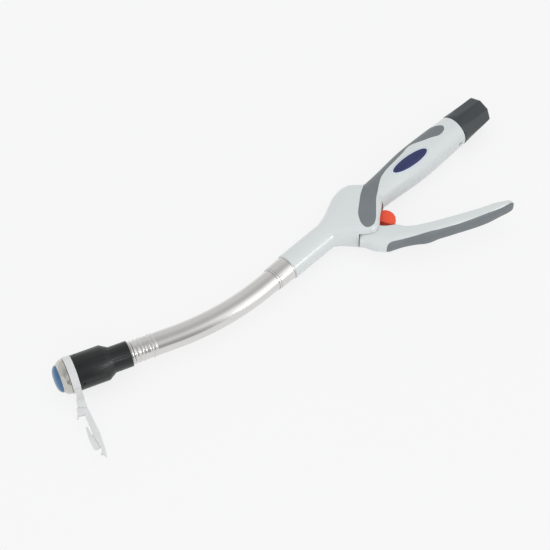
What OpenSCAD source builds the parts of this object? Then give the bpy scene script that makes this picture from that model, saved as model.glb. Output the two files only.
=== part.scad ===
// Circular surgical stapler lying on its side: curved tube, fluted knob, firing lever, shipping spacer on.
// +X runs along the handle to the knob, +Y is the back of the handle, the lever is on the -Y side.
// +Z is up from the table. The origin is the middle of the flat rest under the bulb of the body.

/* [Body outline] */
// half the thickness of the body, and the height of the handle axis above the table
half_thick = 15.5; // [15:0.25:16]
// from the front of the tube collar to the middle of the flat rest
rest_x = 98; // [94:1:102]
// front end of the handle shells
nose_x = 17.5; // [16:0.5:20]
// where the nose starts to swell into the bulb
bulb_x = 62; // [60:0.5:64]
// narrow waist between the bulb and the grip
waist_x = 120; // [119:0.5:121]
// thickest part of the grip
swell_x = 172; // [168:1:176]
// rear end of the handle shells
rear_x = 222; // [220:1:226]
// radius of the nose
nose_r = 11.2; // [10.8:0.1:11.6]
// reach of the back shoulder of the bulb from the axis
shoulder_y = 23; // [21:0.5:25]
// reach of the belly of the bulb from the axis
belly_y = 31; // [30:0.5:32]
// half thickness of the bulb before its sides are cut flat
bulb_half = 16.1; // [15.8:0.1:16.6]
// radius of the waist
waist_r = 12.6; // [12.3:0.1:13]
// radius of the grip at its thickest part
swell_r = 15.7; // [15.4:0.1:16]
// radius of the rear end
rear_r = 14.3; // [14:0.1:14.8]

/* [Bent tube] */
// angle between the handle axis and the head axis
bend_angle = 21.5; // [18:0.5:25]
// radius of the bend, on the tube axis
bend_r = 230; // [210:5:260]
// where the bend starts, from the front of the collar
bend_x = -10; // [-14:1:-8]
// straight reach from the end of the bend to the front of the head
head_reach = 82.4; // [78:0.2:90]
// outside radius of the tube
tube_r = 9.25; // [9.1:0.05:9.4]
// wall of the tube
tube_wall = 0.8; // [0.6:0.1:1]
// radius of the collar at the front of the handle
collar_r = 10.1; // [9.9:0.1:10.4]

/* [Head] */
// outside radius of the staple head
head_r = 14.5; // [14.3:0.1:14.9]
// length of the wide part of the head
head_wide = 23.9; // [23:0.1:26]
// length of the cone behind it
head_cone = 6.4; // [5:0.1:8]
// radius of the neck
neck_r = 10.6; // [10.4:0.1:11]
// whole length of the head housing
head_long = 44.9; // [44:0.1:48]
// inside radius of the head at its mouth
mouth_r = 13.4; // [13.3:0.05:13.5]
// depth of the staple cartridge
cartridge_deep = 9; // [8.5:0.1:9.5]
// staples in each of the two rings
staples_round = 14; // [12:1:14]
// radius of the inner ring of staples
inner_row_r = 10.5; // [10.4:0.05:10.6]
// radius of the outer ring of staples
outer_row_r = 12.2; // [12.1:0.05:12.3]
// width of a staple across its two legs
staple_wide = 3.4; // [3:0.1:3.6]
// height of a staple leg
staple_high = 4.8; // [4.4:0.1:5]
// thickness of the staple wire
staple_wire = 0.3; // [0.25:0.05:0.35]
// outside radius of the round knife
knife_r = 9.2; // [9.1:0.05:9.3]

/* [Anvil and shipping spacer] */
// gap held by the spacer between the head and the anvil
anvil_gap = 6.8; // [6.4:0.1:8]
// rim radius of the anvil
anvil_r = 14.3; // [14:0.1:14.6]
// height of the steel part of the anvil
anvil_steel = 6.3; // [6:0.1:7]
// radius of the blue cap where it meets the steel
cap_r = 11.2; // [10.8:0.1:11.6]
// height of the blue cap
cap_high = 4.5; // [4:0.1:6]
// radius of the anvil shaft
shaft_r = 4; // [3.8:0.1:4.1]
// how far the anvil opens from the rest pose
anvil_travel = 18; // [14:1:20]
// radius of the spacer ring
spacer_r = 15; // [14.6:0.1:15.2]
// length of the spacer tail from the head axis
tail_long = 79.4; // [70:0.2:90]

/* [Lever and latch] */
// pivot of the lever, along the handle
pivot_x = 88; // [87:0.5:89]
// pivot of the lever, below the handle axis
pivot_y = 26; // [25.5:0.5:26.5]
// slope of the lever below the handle axis
lever_slope = 30; // [28:0.5:31]
// how far the lever swings to fire
lever_swing = 28; // [24:1:28]
// length of the lever from its pivot
lever_long = 126; // [122:1:130]
// half thickness of the lever
lever_half = 8.2; // [8:0.1:8.3]
// radius of the lever pin
pin_r = 2.5; // [2.3:0.1:2.7]
// reach of the lever's drive finger
finger_reach = 16.5; // [16:0.25:17]
// hinge of the red latch, along the handle
latch_x = 106.5; // [106:0.5:107]
// hinge of the red latch, below the handle axis
latch_y = 17; // [16.5:0.25:17.5]
// half thickness of the latch
latch_half = 4; // [3.4:0.1:4.4]

/* [Knob and screw] */
// radius of the knob at its base
knob_r = 14.4; // [14.2:0.1:14.8]
// radius of the knob at its far end
knob_end_r = 13.3; // [12.8:0.1:13.6]
// length of the knob
knob_long = 34.4; // [32:0.2:38]
// number of flutes round the knob
knob_flutes = 8; // [6:1:10]
// how far each flute leans in towards the far end, in degrees
flute_lean = 4.3; // [3.5:0.1:4.6]
// radius of the lead screw
screw_r = 3.5; // [3.3:0.1:3.6]

/* [Fits] */
// air between parts that move past each other
air = 0.3; // [0.3:0.05:0.4]
// clearance of a running fit on the radius
running = 0.05; // [0.03:0.01:0.08]

/* [Hidden] */
$fn = 72;
eps = 0.01;
// stations along a lofted body and points across half of its section
loft_steps = 46;
half_points = 18;
wall = 2.2;

// colours of the pieces
shell_grey = [0.66, 0.68, 0.68];
insert_grey = [0.17, 0.18, 0.19];
near_black = [0.05, 0.055, 0.06];
steel_grey = [0.6, 0.6, 0.61];
cap_blue = [0.07, 0.17, 0.42];
latch_red = [0.8, 0.08, 0.02];
spacer_white = [0.86, 0.86, 0.85];
brass_yellow = [0.7, 0.52, 0.25];

// Smooth curve through points [along, height] that never overshoots them.
function steep(p, i) = (p[i + 1][1] - p[i][1]) / (p[i + 1][0] - p[i][0]);
function lean(p, i) =
    i == 0 ? steep(p, 0)
    : i == len(p) - 1 ? steep(p, i - 1)
    : let (a = steep(p, i - 1), b = steep(p, i)) a * b <= 0 ? 0 : 2 * a * b / (a + b);
function place_in(p, x, i = 0) = i >= len(p) - 2 || x < p[i + 1][0] ? i : place_in(p, x, i + 1);
function height_at(p, x) =
    let (
        i = place_in(p, x),
        w = p[i + 1][0] - p[i][0],
        s = min(1, max(0, (x - p[i][0]) / w)),
        s2 = s * s,
        s3 = s2 * s
    )
    (2 * s3 - 3 * s2 + 1) * p[i][1] + (s3 - 2 * s2 + s) * w * lean(p, i)
    + (3 * s2 - 2 * s3) * p[i + 1][1] + (s3 - s2) * w * lean(p, i + 1);

// Body outline: each point is [share of the way from bulb to waist, share of the bulb's reach].
back_shares = [[0.19, 0.19], [0.36, 0.54], [0.55, 0.9], [0.69, 1], [0.79, 0.93], [0.88, 0.63], [0.945, 0.29]];
belly_shares = [
    [0.07, 0.09], [0.19, 0.34], [0.293, 0.657], [0.414, 0.92], [0.49, 1], [0.56, 0.95],
    [0.628, 0.85], [0.691, 0.7], [0.76, 0.56], [0.829, 0.43], [0.9, 0.28], [0.955, 0.15]
];
thick_shares = [[0.19, 0.3], [0.36, 0.72], [0.5, 1], [0.74, 1], [0.86, 0.84], [0.94, 0.64]];
bulb_long = waist_x - bulb_x;
back_line = concat(
    [[nose_x, nose_r], [bulb_x, nose_r]],
    [for (s = back_shares) [bulb_x + s[0] * bulb_long, nose_r + s[1] * (shoulder_y - nose_r)]],
    [[waist_x, waist_r], [swell_x, swell_r], [rear_x, rear_r]]
);
belly_line = concat(
    [[nose_x, nose_r], [bulb_x, nose_r]],
    [for (s = belly_shares) [bulb_x + s[0] * bulb_long, nose_r + s[1] * (belly_y - nose_r)]],
    [[waist_x, waist_r], [swell_x, swell_r], [rear_x, rear_r]]
);
thick_line = concat(
    [[nose_x, nose_r], [bulb_x, nose_r]],
    [for (s = thick_shares) [bulb_x + s[0] * bulb_long, nose_r + s[1] * (bulb_half - nose_r)]],
    [[waist_x, waist_r + wall / 2], [swell_x, swell_r], [rear_x, rear_r]]
);
flat_share = [[0, 0], [0.35, 1], [0.5, 1], [0.8, 0.5], [1, 0]];
flat_line = [for (s = flat_share) [bulb_x + s[0] * bulb_long, s[1]]];

// Point of a rounded section: t runs from the back edge (0) to the belly edge (180).
function bend_power(c, n) = sign(c) * pow(abs(c), 2 / n);
function body_point(x, t) =
    let (
        k = height_at(flat_line, x),
        top = height_at(back_line, x),
        low = -height_at(belly_line, x),
        mid = (top + low) / 2,
        n = cos(t) > 0 ? 2 + 0.4 * k : 2 + 1.6 * k
    )
    [x, mid + (top - low) / 2 * bend_power(cos(t), n), height_at(thick_line, x) * bend_power(sin(t), n)];

// Solid through rings of points: every ring has the same count and closes on itself.
module ring_solid(rings) {
    n = len(rings[0]);
    m = len(rings);
    polyhedron(
        points = [for (r = rings) each r],
        faces = concat(
            [[for (j = [0 : n - 1]) j]],
            [for (i = [0 : m - 2], j = [0 : n - 1]) [i * n + j, (i + 1) * n + j, i * n + (j + 1) % n]],
            [for (i = [0 : m - 2], j = [0 : n - 1])
                [i * n + (j + 1) % n, (i + 1) * n + j, (i + 1) * n + (j + 1) % n]],
            [[for (j = [n - 1 : -1 : 0]) (m - 1) * n + j]]
        ),
        convexity = 8
    );
}

// Stations are close together over the bulb and wide apart elsewhere.
bulb_step_share = 0.7;
body_stations = concat(
    [nose_x],
    [for (i = [0 : loft_steps * bulb_step_share]) bulb_x + i / (loft_steps * bulb_step_share) * bulb_long],
    [for (i = [1 : loft_steps * (1 - bulb_step_share)])
        waist_x + i / floor(loft_steps * (1 - bulb_step_share)) * (rear_x - waist_x)]
);

module body_half() {
    intersection() {
        ring_solid([
            for (x = body_stations) [for (j = [0 : half_points]) body_point(x, 180 * j / half_points)]
        ]);
        translate([nose_x, -belly_y - wall, 0])
            cube([rear_x - nose_x, belly_y + shoulder_y + 2 * wall, half_thick]);
    }
}

// Everything is drawn with the handle axis on X and moved into the shared frame here.
module placed() {
    translate([-rest_x, 0, half_thick]) children();
}

module along_x(from) {
    translate([from, 0, 0]) rotate([0, 90, 0]) children();
}

module rod(from, to, r) {
    along_x(from) cylinder(h = to - from, r = r);
}

module pipe(from, to, r, bore) {
    difference() {
        rod(from, to, r);
        rod(from - eps, to + eps, bore);
    }
}

// Turned piece: outline points are [along, radius], turned about the X axis.
module turned(outline) {
    rotate([0, 90, 0]) rotate([0, 0, 90]) rotate_extrude() polygon([for (p = outline) [p[1], p[0]]]);
}

// Head frame: local +X points out of the head's face, local +Y is the side the spacer tail hangs on.
bend_end = [bend_x - bend_r * sin(bend_angle), bend_r * (1 - cos(bend_angle))];
head_at = bend_end + head_reach * [-cos(bend_angle), sin(bend_angle)];
module in_head() {
    placed() translate([head_at[0], head_at[1], 0]) rotate([0, 0, 180 - bend_angle]) children();
}

// Piece swept round the bend of the tube, from angle a to angle b past the start of the bend.
module round_bend(a, b) {
    placed() translate([bend_x, bend_r, 0]) rotate([0, 0, -90 - b])
        rotate_extrude(angle = b - a, $fn = 180) translate([bend_r, 0]) children();
}

// Lever frame: local +X points from the pivot to the lever's tip.
module at_pivot() {
    placed() translate([pivot_x, -pivot_y, 0]) children();
}

// Back grip inlay: shares of the grip's length from the waist, then of swell_r from the axis.
inlay_shares = [
    [-0.017, 0.95], [-0.03, 0.55], [-0.14, 0.12], [-0.222, -0.275], [-0.29, -0.62], [-0.324, -0.9],
    [-0.346, -1.2], [-0.342, -1.47], [-0.318, -1.62], [-0.28, -1.66], [-0.244, -1.57], [-0.199, -1.36],
    [-0.082, -0.66], [-0.004, -0.3], [0.1, 0.13], [0.178, 0.31], [0.247, 0.39], [0.331, 0.44], [0.44, 0.52],
    [0.504, 0.62], [0.558, 0.57], [0.636, 0.29], [0.724, 0.06], [0.775, -0.09], [0.824, -0.1], [0.866, 0],
    [0.886, 0.18], [0.879, 0.37], [0.859, 0.55], [0.83, 0.8], [0.82, 1.1], [0.6, 1.25], [0.2, 1.25],
    [0.03, 1.05]
];
inlay_points = [for (s = inlay_shares) [waist_x + s[0] * (rear_x - waist_x), s[1] * swell_r]];
inlay_floor_r = 12.9;
inlay_floor_z = 12.2;

module inlay_space(shrink) {
    difference() {
        linear_extrude(half_thick + wall) polygon(inlay_points);
        rod(nose_x, rear_x, inlay_floor_r + shrink);
        translate([bulb_x, -belly_y, -eps])
            cube([waist_x + wall - bulb_x, belly_y + wall, inlay_floor_z + shrink + eps]);
    }
}

// Bare oval label on the upper side of the grip.
label_x = 162.5;
label_y = -2.9;
label_long = 40.6;
label_wide = 14.2;
label_floor_r = 14.3;
label_thick = 0.8;
label_points = 60;
module label_oval(grow = 0) {
    long = label_long / 2 + grow;
    wide = label_wide / 2 + grow;
    translate([label_x, label_y, 0]) linear_extrude(half_thick + wall)
        polygon([
            for (i = [0 : label_points - 1]) let (a = 360 * i / label_points) [long * cos(a), wide * sin(a)]
        ]);
}

// Inside of the shells.
drive_bore = 7.4;
bulb_room = 11.6;
bulb_lead = 4;
spring_room = 9.6;
spring_wall = 2;
grip_room = 11;
bay_gap = 0.6;
bay_half = lever_half + bay_gap;
web = 3;
web_xs = [waist_x - bulb_lead, swell_x - bulb_lead];
bush_past = 1;
thrust_x = rear_x - 16;
thrust_r = 11.2;
thrust_wall = 1;
washer_room = 1;
flange_thick = 3;
nut_room = knob_r * 0.6;
pin_seat = 1.5;
latch_pin_r = 1.5;
latch_room = 9;
collar_stem = 17;
stem_wall = 1.1;
stem_r = collar_r - stem_wall;
// bay for the lever root and the latch, drawn as reaches from the lever pivot
bay_shares = [
    [-0.44, 0.66], [-0.46, 0.2], [-0.55, -0.1], [-0.55, -0.8], [1.6, -0.8], [1.22, 0.3], [1.12, 0.56],
    [0.96, 0.66], [0.7, 0.69]
];
module lever_bay() {
    translate([pivot_x, -pivot_y, 0]) linear_extrude(2 * bay_half, center = true)
        polygon([for (s = bay_shares) s * pivot_y]);
}

screw_spots = [[92, 16], [108, 15.5], [140, -8.6], [196, -8.6]];
fastener_r = 1.3;
fastener_head_r = 2.5;
fastener_long = 13;
fastener_slip = 0.15;
head_seat = 6;
head_high = 2;
hex_r = 1.1;
hex_deep = 1.2;
pilot_deep = 8;
boss_r = 3.4;
boss_sink = 1;

module shell_hollows() {
    room_front = bulb_x + bulb_room + bulb_lead;
    thrust_front = thrust_x - washer_room;
    thrust_rear = thrust_x + flange_thick + washer_room;
    rod(nose_x - eps, nose_x + collar_stem, stem_r + running);
    rod(nose_x, web_xs[1] + web, drive_bore);
    rod(bulb_x + spring_wall, room_front + eps, spring_room);
    rod(room_front, web_xs[0], bulb_room);
    rod(web_xs[0] + web, web_xs[1], grip_room);
    rod(web_xs[1] + web, thrust_front - thrust_wall, grip_room);
    rod(thrust_front - thrust_wall - eps, rear_x + eps, nut_room);
    rod(thrust_front, thrust_rear, thrust_r + running);
    lever_bay();
    at_latch_local() cylinder(h = 2 * bay_half, r = latch_room, center = true);
    translate([pivot_x, -pivot_y, 0])
        cylinder(h = 2 * (bay_half + pin_seat), r = pin_r + running, center = true);
    at_latch_local() cylinder(h = 2 * (bay_half + pin_seat), r = latch_pin_r + running, center = true);
}

module at_latch_local() {
    translate([latch_x, -latch_y, 0]) children();
}

module grip_bosses() {
    intersection() {
        union() {
            for (p = screw_spots) translate([p[0], p[1], 0]) cylinder(h = grip_room, r = boss_r);
            // guide bush seat
            rod(web_xs[1] - 2 * bush_past, web_xs[1] + web + 2 * bush_past, grip_room + eps);
        }
        rod(bulb_x, rear_x, grip_room + boss_sink);
        translate([bulb_x, -belly_y, 0]) cube([rear_x - bulb_x, 2 * belly_y, half_thick]);
    }
}

// Small slot in the seam, just in front of the knob.
slot_back = 4.6;
slot_long = 4.2;
slot_high = 1.4;
slot_deep = 2;
module upper_shell() {
    color(shell_grey) placed() difference() {
        union() {
            difference() {
                body_half();
                shell_hollows();
            }
            difference() {
                grip_bosses();
                rod(nose_x, rear_x, drive_bore);
            }
        }
        for (p = screw_spots) translate([p[0], p[1], -eps])
            cylinder(h = pilot_deep, r = fastener_r - fastener_slip + running);
        inlay_space(0);
        difference() {
            label_oval(air / 2);
            rod(nose_x, rear_x, label_floor_r);
        }
        translate([rear_x - slot_back - slot_long, -rear_r - slot_deep, -eps])
            cube([slot_long, 2 * slot_deep, slot_high]);
    }
}

module lower_shell() {
    color(shell_grey) placed() mirror([0, 0, 1]) difference() {
        union() {
            difference() {
                body_half();
                shell_hollows();
            }
            difference() {
                grip_bosses();
                rod(nose_x, rear_x, drive_bore);
            }
        }
        for (p = screw_spots) translate([p[0], p[1], 0]) {
            translate([0, 0, -eps]) cylinder(h = half_thick, r = fastener_r + running);
            translate([0, 0, head_seat]) cylinder(h = half_thick, r = fastener_head_r + air / 2);
        }
        inlay_space(0);
    }
}

module shell_screws() {
    color(steel_grey) placed() for (p = screw_spots) translate([p[0], p[1], 0]) {
        translate([0, 0, -head_seat - eps]) cylinder(h = fastener_long, r = fastener_r - fastener_slip);
        difference() {
            translate([0, 0, -head_seat - head_high]) cylinder(h = head_high, r = fastener_head_r);
            translate([0, 0, -head_seat - head_high - eps]) cylinder(h = hex_deep, r = hex_r, $fn = 6);
        }
    }
}

module grip_inlay() {
    intersection() {
        body_half();
        inlay_space(air / 2);
    }
}

module upper_inlay() {
    color(insert_grey) placed() grip_inlay();
}

module lower_inlay() {
    color(insert_grey) placed() mirror([0, 0, 1]) difference() {
        grip_inlay();
        // the screw under the inlay keeps its own hole
        for (p = screw_spots) translate([p[0], p[1], 0]) cylinder(h = half_thick, r = fastener_head_r + air);
    }
}

module label_plate() {
    color(cap_blue) placed() intersection() {
        label_oval();
        pipe(nose_x, rear_x, label_floor_r + label_thick, label_floor_r);
    }
}

collar_lip = 1;
collar_flare = 0.3;
groove_wide = 0.8;
groove_deep = 0.5;
collar_seat = 4;
module tube_collar() {
    flare_r = collar_r + collar_flare;
    color(steel_grey) placed() difference() {
        union() {
            turned([
                [0, 0], [0, collar_r], [collar_lip, collar_r], [collar_lip, collar_r - groove_deep],
                [collar_lip + groove_wide, collar_r - groove_deep], [collar_lip + groove_wide, collar_r],
                [nose_x - 2 * groove_wide, flare_r], [nose_x - 2 * groove_wide, flare_r - groove_deep],
                [nose_x - groove_wide, flare_r - groove_deep], [nose_x - groove_wide, flare_r],
                [nose_x, flare_r], [nose_x, 0]
            ]);
            rod(nose_x - collar_seat, nose_x + collar_stem - air, stem_r);
        }
        rod(-eps, nose_x - collar_seat, tube_r);
        rod(nose_x - collar_seat - eps, nose_x + collar_stem, drive_bore);
    }
}

// Curved tube: straight in the collar, round the bend, straight into the neck.
tube_bore = tube_r - tube_wall;
ring_spots = [3, 6.4, 9.8];
ring_wire = 0.8;
band_spot = 18;
small_bead_back = 2.6;
neck_seat = 8;
// The straight ends run a little way into the bend, a hair thinner, so that the three join into one solid.
seam = 1;
seam_slip = 0.02;
module tube_form(r) {
    placed() rod(bend_x - seam, nose_x - collar_seat, r - seam_slip);
    round_bend(0, bend_angle) circle(r);
    in_head() rod(-head_reach - seam, -head_long + neck_seat, r - seam_slip);
}

module outer_tube() {
    color(steel_grey) difference() {
        union() {
            tube_form(tube_r);
            in_head() {
                for (s = ring_spots) along_x(-head_long - s) ring_bead(ring_wire);
                // wider crimp with a smaller bead behind it
                along_x(-head_long - band_spot) ring_bead(ring_wire * 1.2);
                along_x(-head_long - band_spot - small_bead_back) ring_bead(ring_wire * 0.7);
            }
        }
        tube_form(tube_bore);
    }
}

module ring_bead(wire) {
    rotate_extrude() translate([tube_r - wire / 4, 0]) intersection() {
        circle(wire, $fn = 32);
        translate([0, -wire]) square([2 * wire, 2 * wire]);
    }
}

mouth_chamfer = 0.2;
pusher_room = 13;
// six small blind holes round the mouth
hole_at = 3.1;
hole_r = 1.1;
hole_deep = 0.6;
hole_turn = -16;
module head_housing() {
    room_back = -cartridge_deep - pusher_room;
    color(near_black) in_head() difference() {
        turned([
            [0, 0], [0, head_r - mouth_chamfer], [-mouth_chamfer, head_r], [-head_wide, head_r],
            [-head_wide - head_cone, neck_r], [-head_long, neck_r], [-head_long, 0]
        ]);
        rod(room_back, eps, mouth_r);
        rod(-head_long + neck_seat, room_back + eps, drive_bore + air);
        rod(-head_long - eps, -head_long + neck_seat + eps, tube_r);
        for (a = [0 : 60 : 300]) rotate([a + hole_turn, 0, 0])
            translate([-hole_at, 0, head_r - hole_deep]) cylinder(h = 2 * hole_deep, r = hole_r);
    }
}

// Staple seats: turned about X so that local Z points out from the axis.
module at_staples(r) {
    for (i = [0 : staples_round - 1]) rotate([360 * i / staples_round, 0, 0]) translate([0, 0, r]) children();
}
module both_rows() {
    at_staples(inner_row_r) children();
    rotate([180 / staples_round, 0, 0]) at_staples(outer_row_r) children();
}
finger_thick = 0.5;
slot_slip = 0.15;
module staple_cartridge() {
    color(spacer_white) in_head() difference() {
        pipe(-cartridge_deep, 0, mouth_r, knife_r + air);
        both_rows() translate([-cartridge_deep / 2, 0, 0]) cube([
            cartridge_deep + 2 * eps, staple_wide + 2 * air, finger_thick + 2 * slot_slip
        ], center = true);
    }
}

// Everything driven by the lever sits this far back, so that a full stroke stops just inside the face.
stroke = finger_reach * lever_swing * PI / 180;
face_margin = 0.2;
fire_back = stroke + air + face_margin;
module staples() {
    color(steel_grey) in_head() both_rows() translate([-fire_back, 0, 0]) {
        half = staple_wire / 2;
        translate([-staple_high, -staple_wide / 2, -half]) cube([staple_wire, staple_wide, staple_wire]);
        for (s = [-1, 1]) translate([-staple_high, s * (staple_wide / 2 - half) - half, -half])
            cube([staple_high, staple_wire, staple_wire]);
    }
}

pusher_face = -fire_back - staple_high;
finger_long = 5;
pusher_base = pusher_face - finger_long;
pusher_thick = 3;
shaft_gap = 1.4;
module staple_pusher() {
    color(insert_grey) in_head() {
        pipe(pusher_base - pusher_thick, pusher_base, mouth_r - air, shaft_r + shaft_gap);
        both_rows() translate([pusher_base - eps, -staple_wide / 2 + air, -finger_thick / 2])
            cube([pusher_face - pusher_base, staple_wide - 2 * air, finger_thick]);
    }
}

knife_wall = 0.4;
knife_edge = 0.1;
knife_bevel = 1;
module circular_knife() {
    color(steel_grey) in_head() turned([
        [pusher_base, shaft_r + shaft_gap], [pusher_base, knife_r], [-fire_back - knife_bevel, knife_r],
        [-fire_back, knife_r - knife_wall + knife_edge], [-fire_back, knife_r - knife_wall],
        [pusher_base + knife_bevel, knife_r - knife_wall], [pusher_base + knife_bevel, shaft_r + shaft_gap]
    ]);
}

sleeve_r = 7;
sleeve_bore = 5.6;
link_gap = 1.2;
module push_sleeve() {
    color(insert_grey) in_head()
        pipe(-head_reach + link_gap, pusher_base - pusher_thick, sleeve_r, sleeve_bore);
}

bend_gap_angle = 0.15;
bend_slip = 0.2;
module push_tube() {
    color(insert_grey) round_bend(bend_gap_angle, bend_angle - bend_gap_angle) difference() {
        circle(sleeve_r - air);
        circle(sleeve_bore - bend_slip);
    }
}

// Firing rod: a tube round the screw with a yoke that the lever's finger pushes.
rod_r = 6.2;
rod_bore = 4.3;
finger_tip_r = 2.4;
finger_lean = 90 - lever_swing / 2;
finger_x = pivot_x + finger_reach * cos(finger_lean);
yoke_wall = 5;
yoke_front = finger_x - finger_tip_r - yoke_wall;
yoke_rear = finger_x + finger_tip_r + yoke_wall;
yoke_r = 9.1;
yoke_low = 11.2;
yoke_lug = 3;
yoke_half = 4.5;
yoke_over = 0.2;
rod_past = 2;
module firing_rod() {
    color(steel_grey) placed() pipe(bend_x + link_gap, yoke_rear + rod_past, rod_r, rod_bore);
}

module firing_yoke() {
    color(insert_grey) placed() difference() {
        union() {
            rod(yoke_front, yoke_rear, yoke_r);
            translate([finger_x - finger_tip_r - yoke_lug, -yoke_low, -yoke_half])
                cube([2 * (finger_tip_r + yoke_lug), yoke_low, 2 * yoke_half]);
        }
        rod(yoke_front - eps, yoke_rear + eps, rod_r);
        // slot that the lever's finger works in
        translate([finger_x - finger_tip_r - air, -yoke_low - eps, -yoke_r])
            cube([2 * (finger_tip_r + air), yoke_low - rod_r + eps + yoke_over, 2 * yoke_r]);
    }
}

spring_front = bulb_x + spring_wall + air;
spring_rear = yoke_front - air;
spring_wire = 1;
spring_turns = 6;
spring_r = 8.4;
turn_rings = 8;
// The return spring is one tube of six-sided rings, eight to each turn.
module return_spring() {
    run = spring_rear - spring_front - 2 * spring_wire;
    steps = spring_turns * turn_rings;
    half = spring_wire / 2;
    rings = [
        for (i = [0 : steps]) let (a = 360 * i / turn_rings, x = spring_front + spring_wire + run * i / steps)
            [for (k = [5 : -1 : 0]) let (r = spring_r + half * cos(60 * k))
                [x + half * sin(60 * k), r * cos(a), r * sin(a)]]
    ];
    // least distance between the points of one turn and the next
    echo(return_spring_gap = min([
        for (i = [0 : steps - turn_rings], p = rings[i], q = rings[i + turn_rings]) norm(p - q)
    ]));
    color(steel_grey) placed() ring_solid(rings);
}

// Lever outline in its own frame: shares of the lever's length along, shares of the bar depth across.
bar_deep = 14;
lever_top_shares = [
    [-0.083, -0.45], [-0.06, 0.33], [0, 0.62], [0.07, 0.55], [0.12, 0.33], [0.16, 0.3], [0.19, 0.24],
    [0.22, -0.05], [0.26, -0.21], [0.32, -0.27], [0.36, -0.27], [0.54, -0.22], [0.75, -0.12], [0.89, 0.03],
    [0.965, 0.08], [0.994, 0]
];
lever_low_shares = [
    [-0.083, -0.5], [-0.073, -0.75], [-0.053, -1.1], [-0.01, -1.42], [0.043, -1.58], [0.09, -1.57],
    [0.147, -1.44], [0.25, -1.24], [0.325, -1.25], [0.365, -1.31], [0.41, -1.21], [0.505, -1.15],
    [0.68, -0.97], [0.815, -0.75], [0.94, -0.41], [0.994, -0.15]
];
lever_half_shares = [
    [-0.083, 0.55], [-0.05, 0.94], [0, 1], [0.5, 1], [0.8, 0.97], [0.95, 0.88], [0.985, 0.7], [0.994, 0.5]
];
lever_top = [for (s = lever_top_shares) [s[0] * lever_long, s[1] * bar_deep]];
lever_low = [for (s = lever_low_shares) [s[0] * lever_long, s[1] * bar_deep]];
lever_wide = [for (s = lever_half_shares) [s[0] * lever_long, s[1] * lever_half]];
lever_station_shares = [
    -0.083, -0.075, -0.06, -0.045, -0.025, 0, 0.03, 0.06, 0.09, 0.12, 0.145, 0.17, 0.19, 0.21, 0.235,
    0.26, 0.29, 0.32, 0.345, 0.37, 0.4, 0.44, 0.5, 0.57, 0.64, 0.71, 0.78, 0.84, 0.89, 0.93, 0.96, 0.98, 0.994
];
lever_points = 28;
function lever_point(u, t) =
    let (
        top = height_at(lever_top, u),
        low = height_at(lever_low, u),
        mid = (top + low) / 2,
        n = cos(t) > 0 ? 9 : 2.9
    )
    [u, mid + (top - low) / 2 * bend_power(cos(t), n), height_at(lever_wide, u) * bend_power(sin(t), n)];

module lever_form() {
    ring_solid([for (s = lever_station_shares)
        [for (j = [0 : lever_points - 1]) lever_point(s * lever_long, 360 * (j + 0.5) / lever_points)]]);
}

// Edge between the lever and its soft finger grip, same shares as the lever outline.
grip_edge_shares = [
    [0.075, -2], [0.085, -1.6], [0.1, -1.34], [0.122, -1.18], [0.16, -1.12], [0.225, -1.1], [0.343, -1.07],
    [0.47, -1.0], [0.6, -0.89], [0.73, -0.72], [0.868, -0.47], [0.94, -0.25], [0.985, -0.12], [1.05, -0.1]
];
module grip_zone(sink) {
    linear_extrude(4 * lever_half, center = true) polygon(concat(
        [for (s = grip_edge_shares) [s[0] * lever_long, s[1] * bar_deep - sink]],
        [[1.05 * lever_long, -2 * bar_deep]]
    ));
}

channel_shares = [
    [0.1, 1], [0.1, -0.5], [0.13, -0.82], [0.2, -0.94], [0.34, -0.9], [0.5, -0.82], [0.66, -0.7], [0.8, -0.5],
    [0.9, -0.25], [0.92, -0.05], [0.92, 1]
];
lever_wall = 1.9;
hub_wall = 2;
finger_wide = 8;
finger_half = 1.8;
finger_root_half = 3;
finger_taper = 3;
module lever() {
    root = pin_r + hub_wall;
    neck = finger_reach - finger_taper;
    color(shell_grey) at_pivot() {
        difference() {
            rotate([0, 0, -lever_slope]) difference() {
                lever_form();
                linear_extrude(2 * (lever_half - lever_wall), center = true)
                    polygon([for (s = channel_shares) [s[0] * lever_long, s[1] * bar_deep]]);
                grip_zone(0);
            }
            cylinder(h = 4 * lever_half, r = pin_r + running, center = true);
        }
        difference() {
            rotate([0, 0, finger_lean]) {
                linear_extrude(finger_wide, center = true) polygon([
                    [root, -finger_root_half], [neck, -finger_half], [finger_reach, -finger_half],
                    [finger_reach, finger_half], [neck, finger_half], [root, finger_root_half]
                ]);
                translate([finger_reach, 0, 0]) cylinder(h = finger_wide, r = finger_tip_r, center = true);
            }
            cylinder(h = 4 * lever_half, r = root, center = true);
        }
    }
}

module lever_grip() {
    color(insert_grey) at_pivot() rotate([0, 0, -lever_slope]) intersection() {
        lever_form();
        grip_zone(0);
    }
}

module pivot_pin() {
    color(steel_grey) at_pivot() cylinder(h = 2 * (bay_half + pin_seat - air), r = pin_r, center = true);
}

// outline of the latch as reaches from its hinge, in hub radii
latch_shares = [
    [0.3, 0.95], [0.9, 0.5], [1.4, 0.08], [2, -0.4], [2.36, -1.17], [2.4, -1.92], [2.1, -2.77], [1.45, -3.47],
    [0.75, -3.67], [0.2, -3.32], [-0.2, -2.47], [-0.6, -1.5], [-0.92, -0.6]
];
latch_hub = 4.4;
module safety_latch() {
    color(latch_red) placed() at_latch_local() difference() {
        union() {
            cylinder(h = 2 * latch_half, r = latch_hub, center = true);
            linear_extrude(2 * latch_half, center = true) polygon([for (s = latch_shares) s * latch_hub]);
        }
        cylinder(h = 4 * latch_half, r = latch_pin_r + running, center = true);
    }
}

module latch_pin() {
    color(steel_grey) placed() at_latch_local()
        cylinder(h = 2 * (bay_half + pin_seat - air), r = latch_pin_r, center = true);
}

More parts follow.
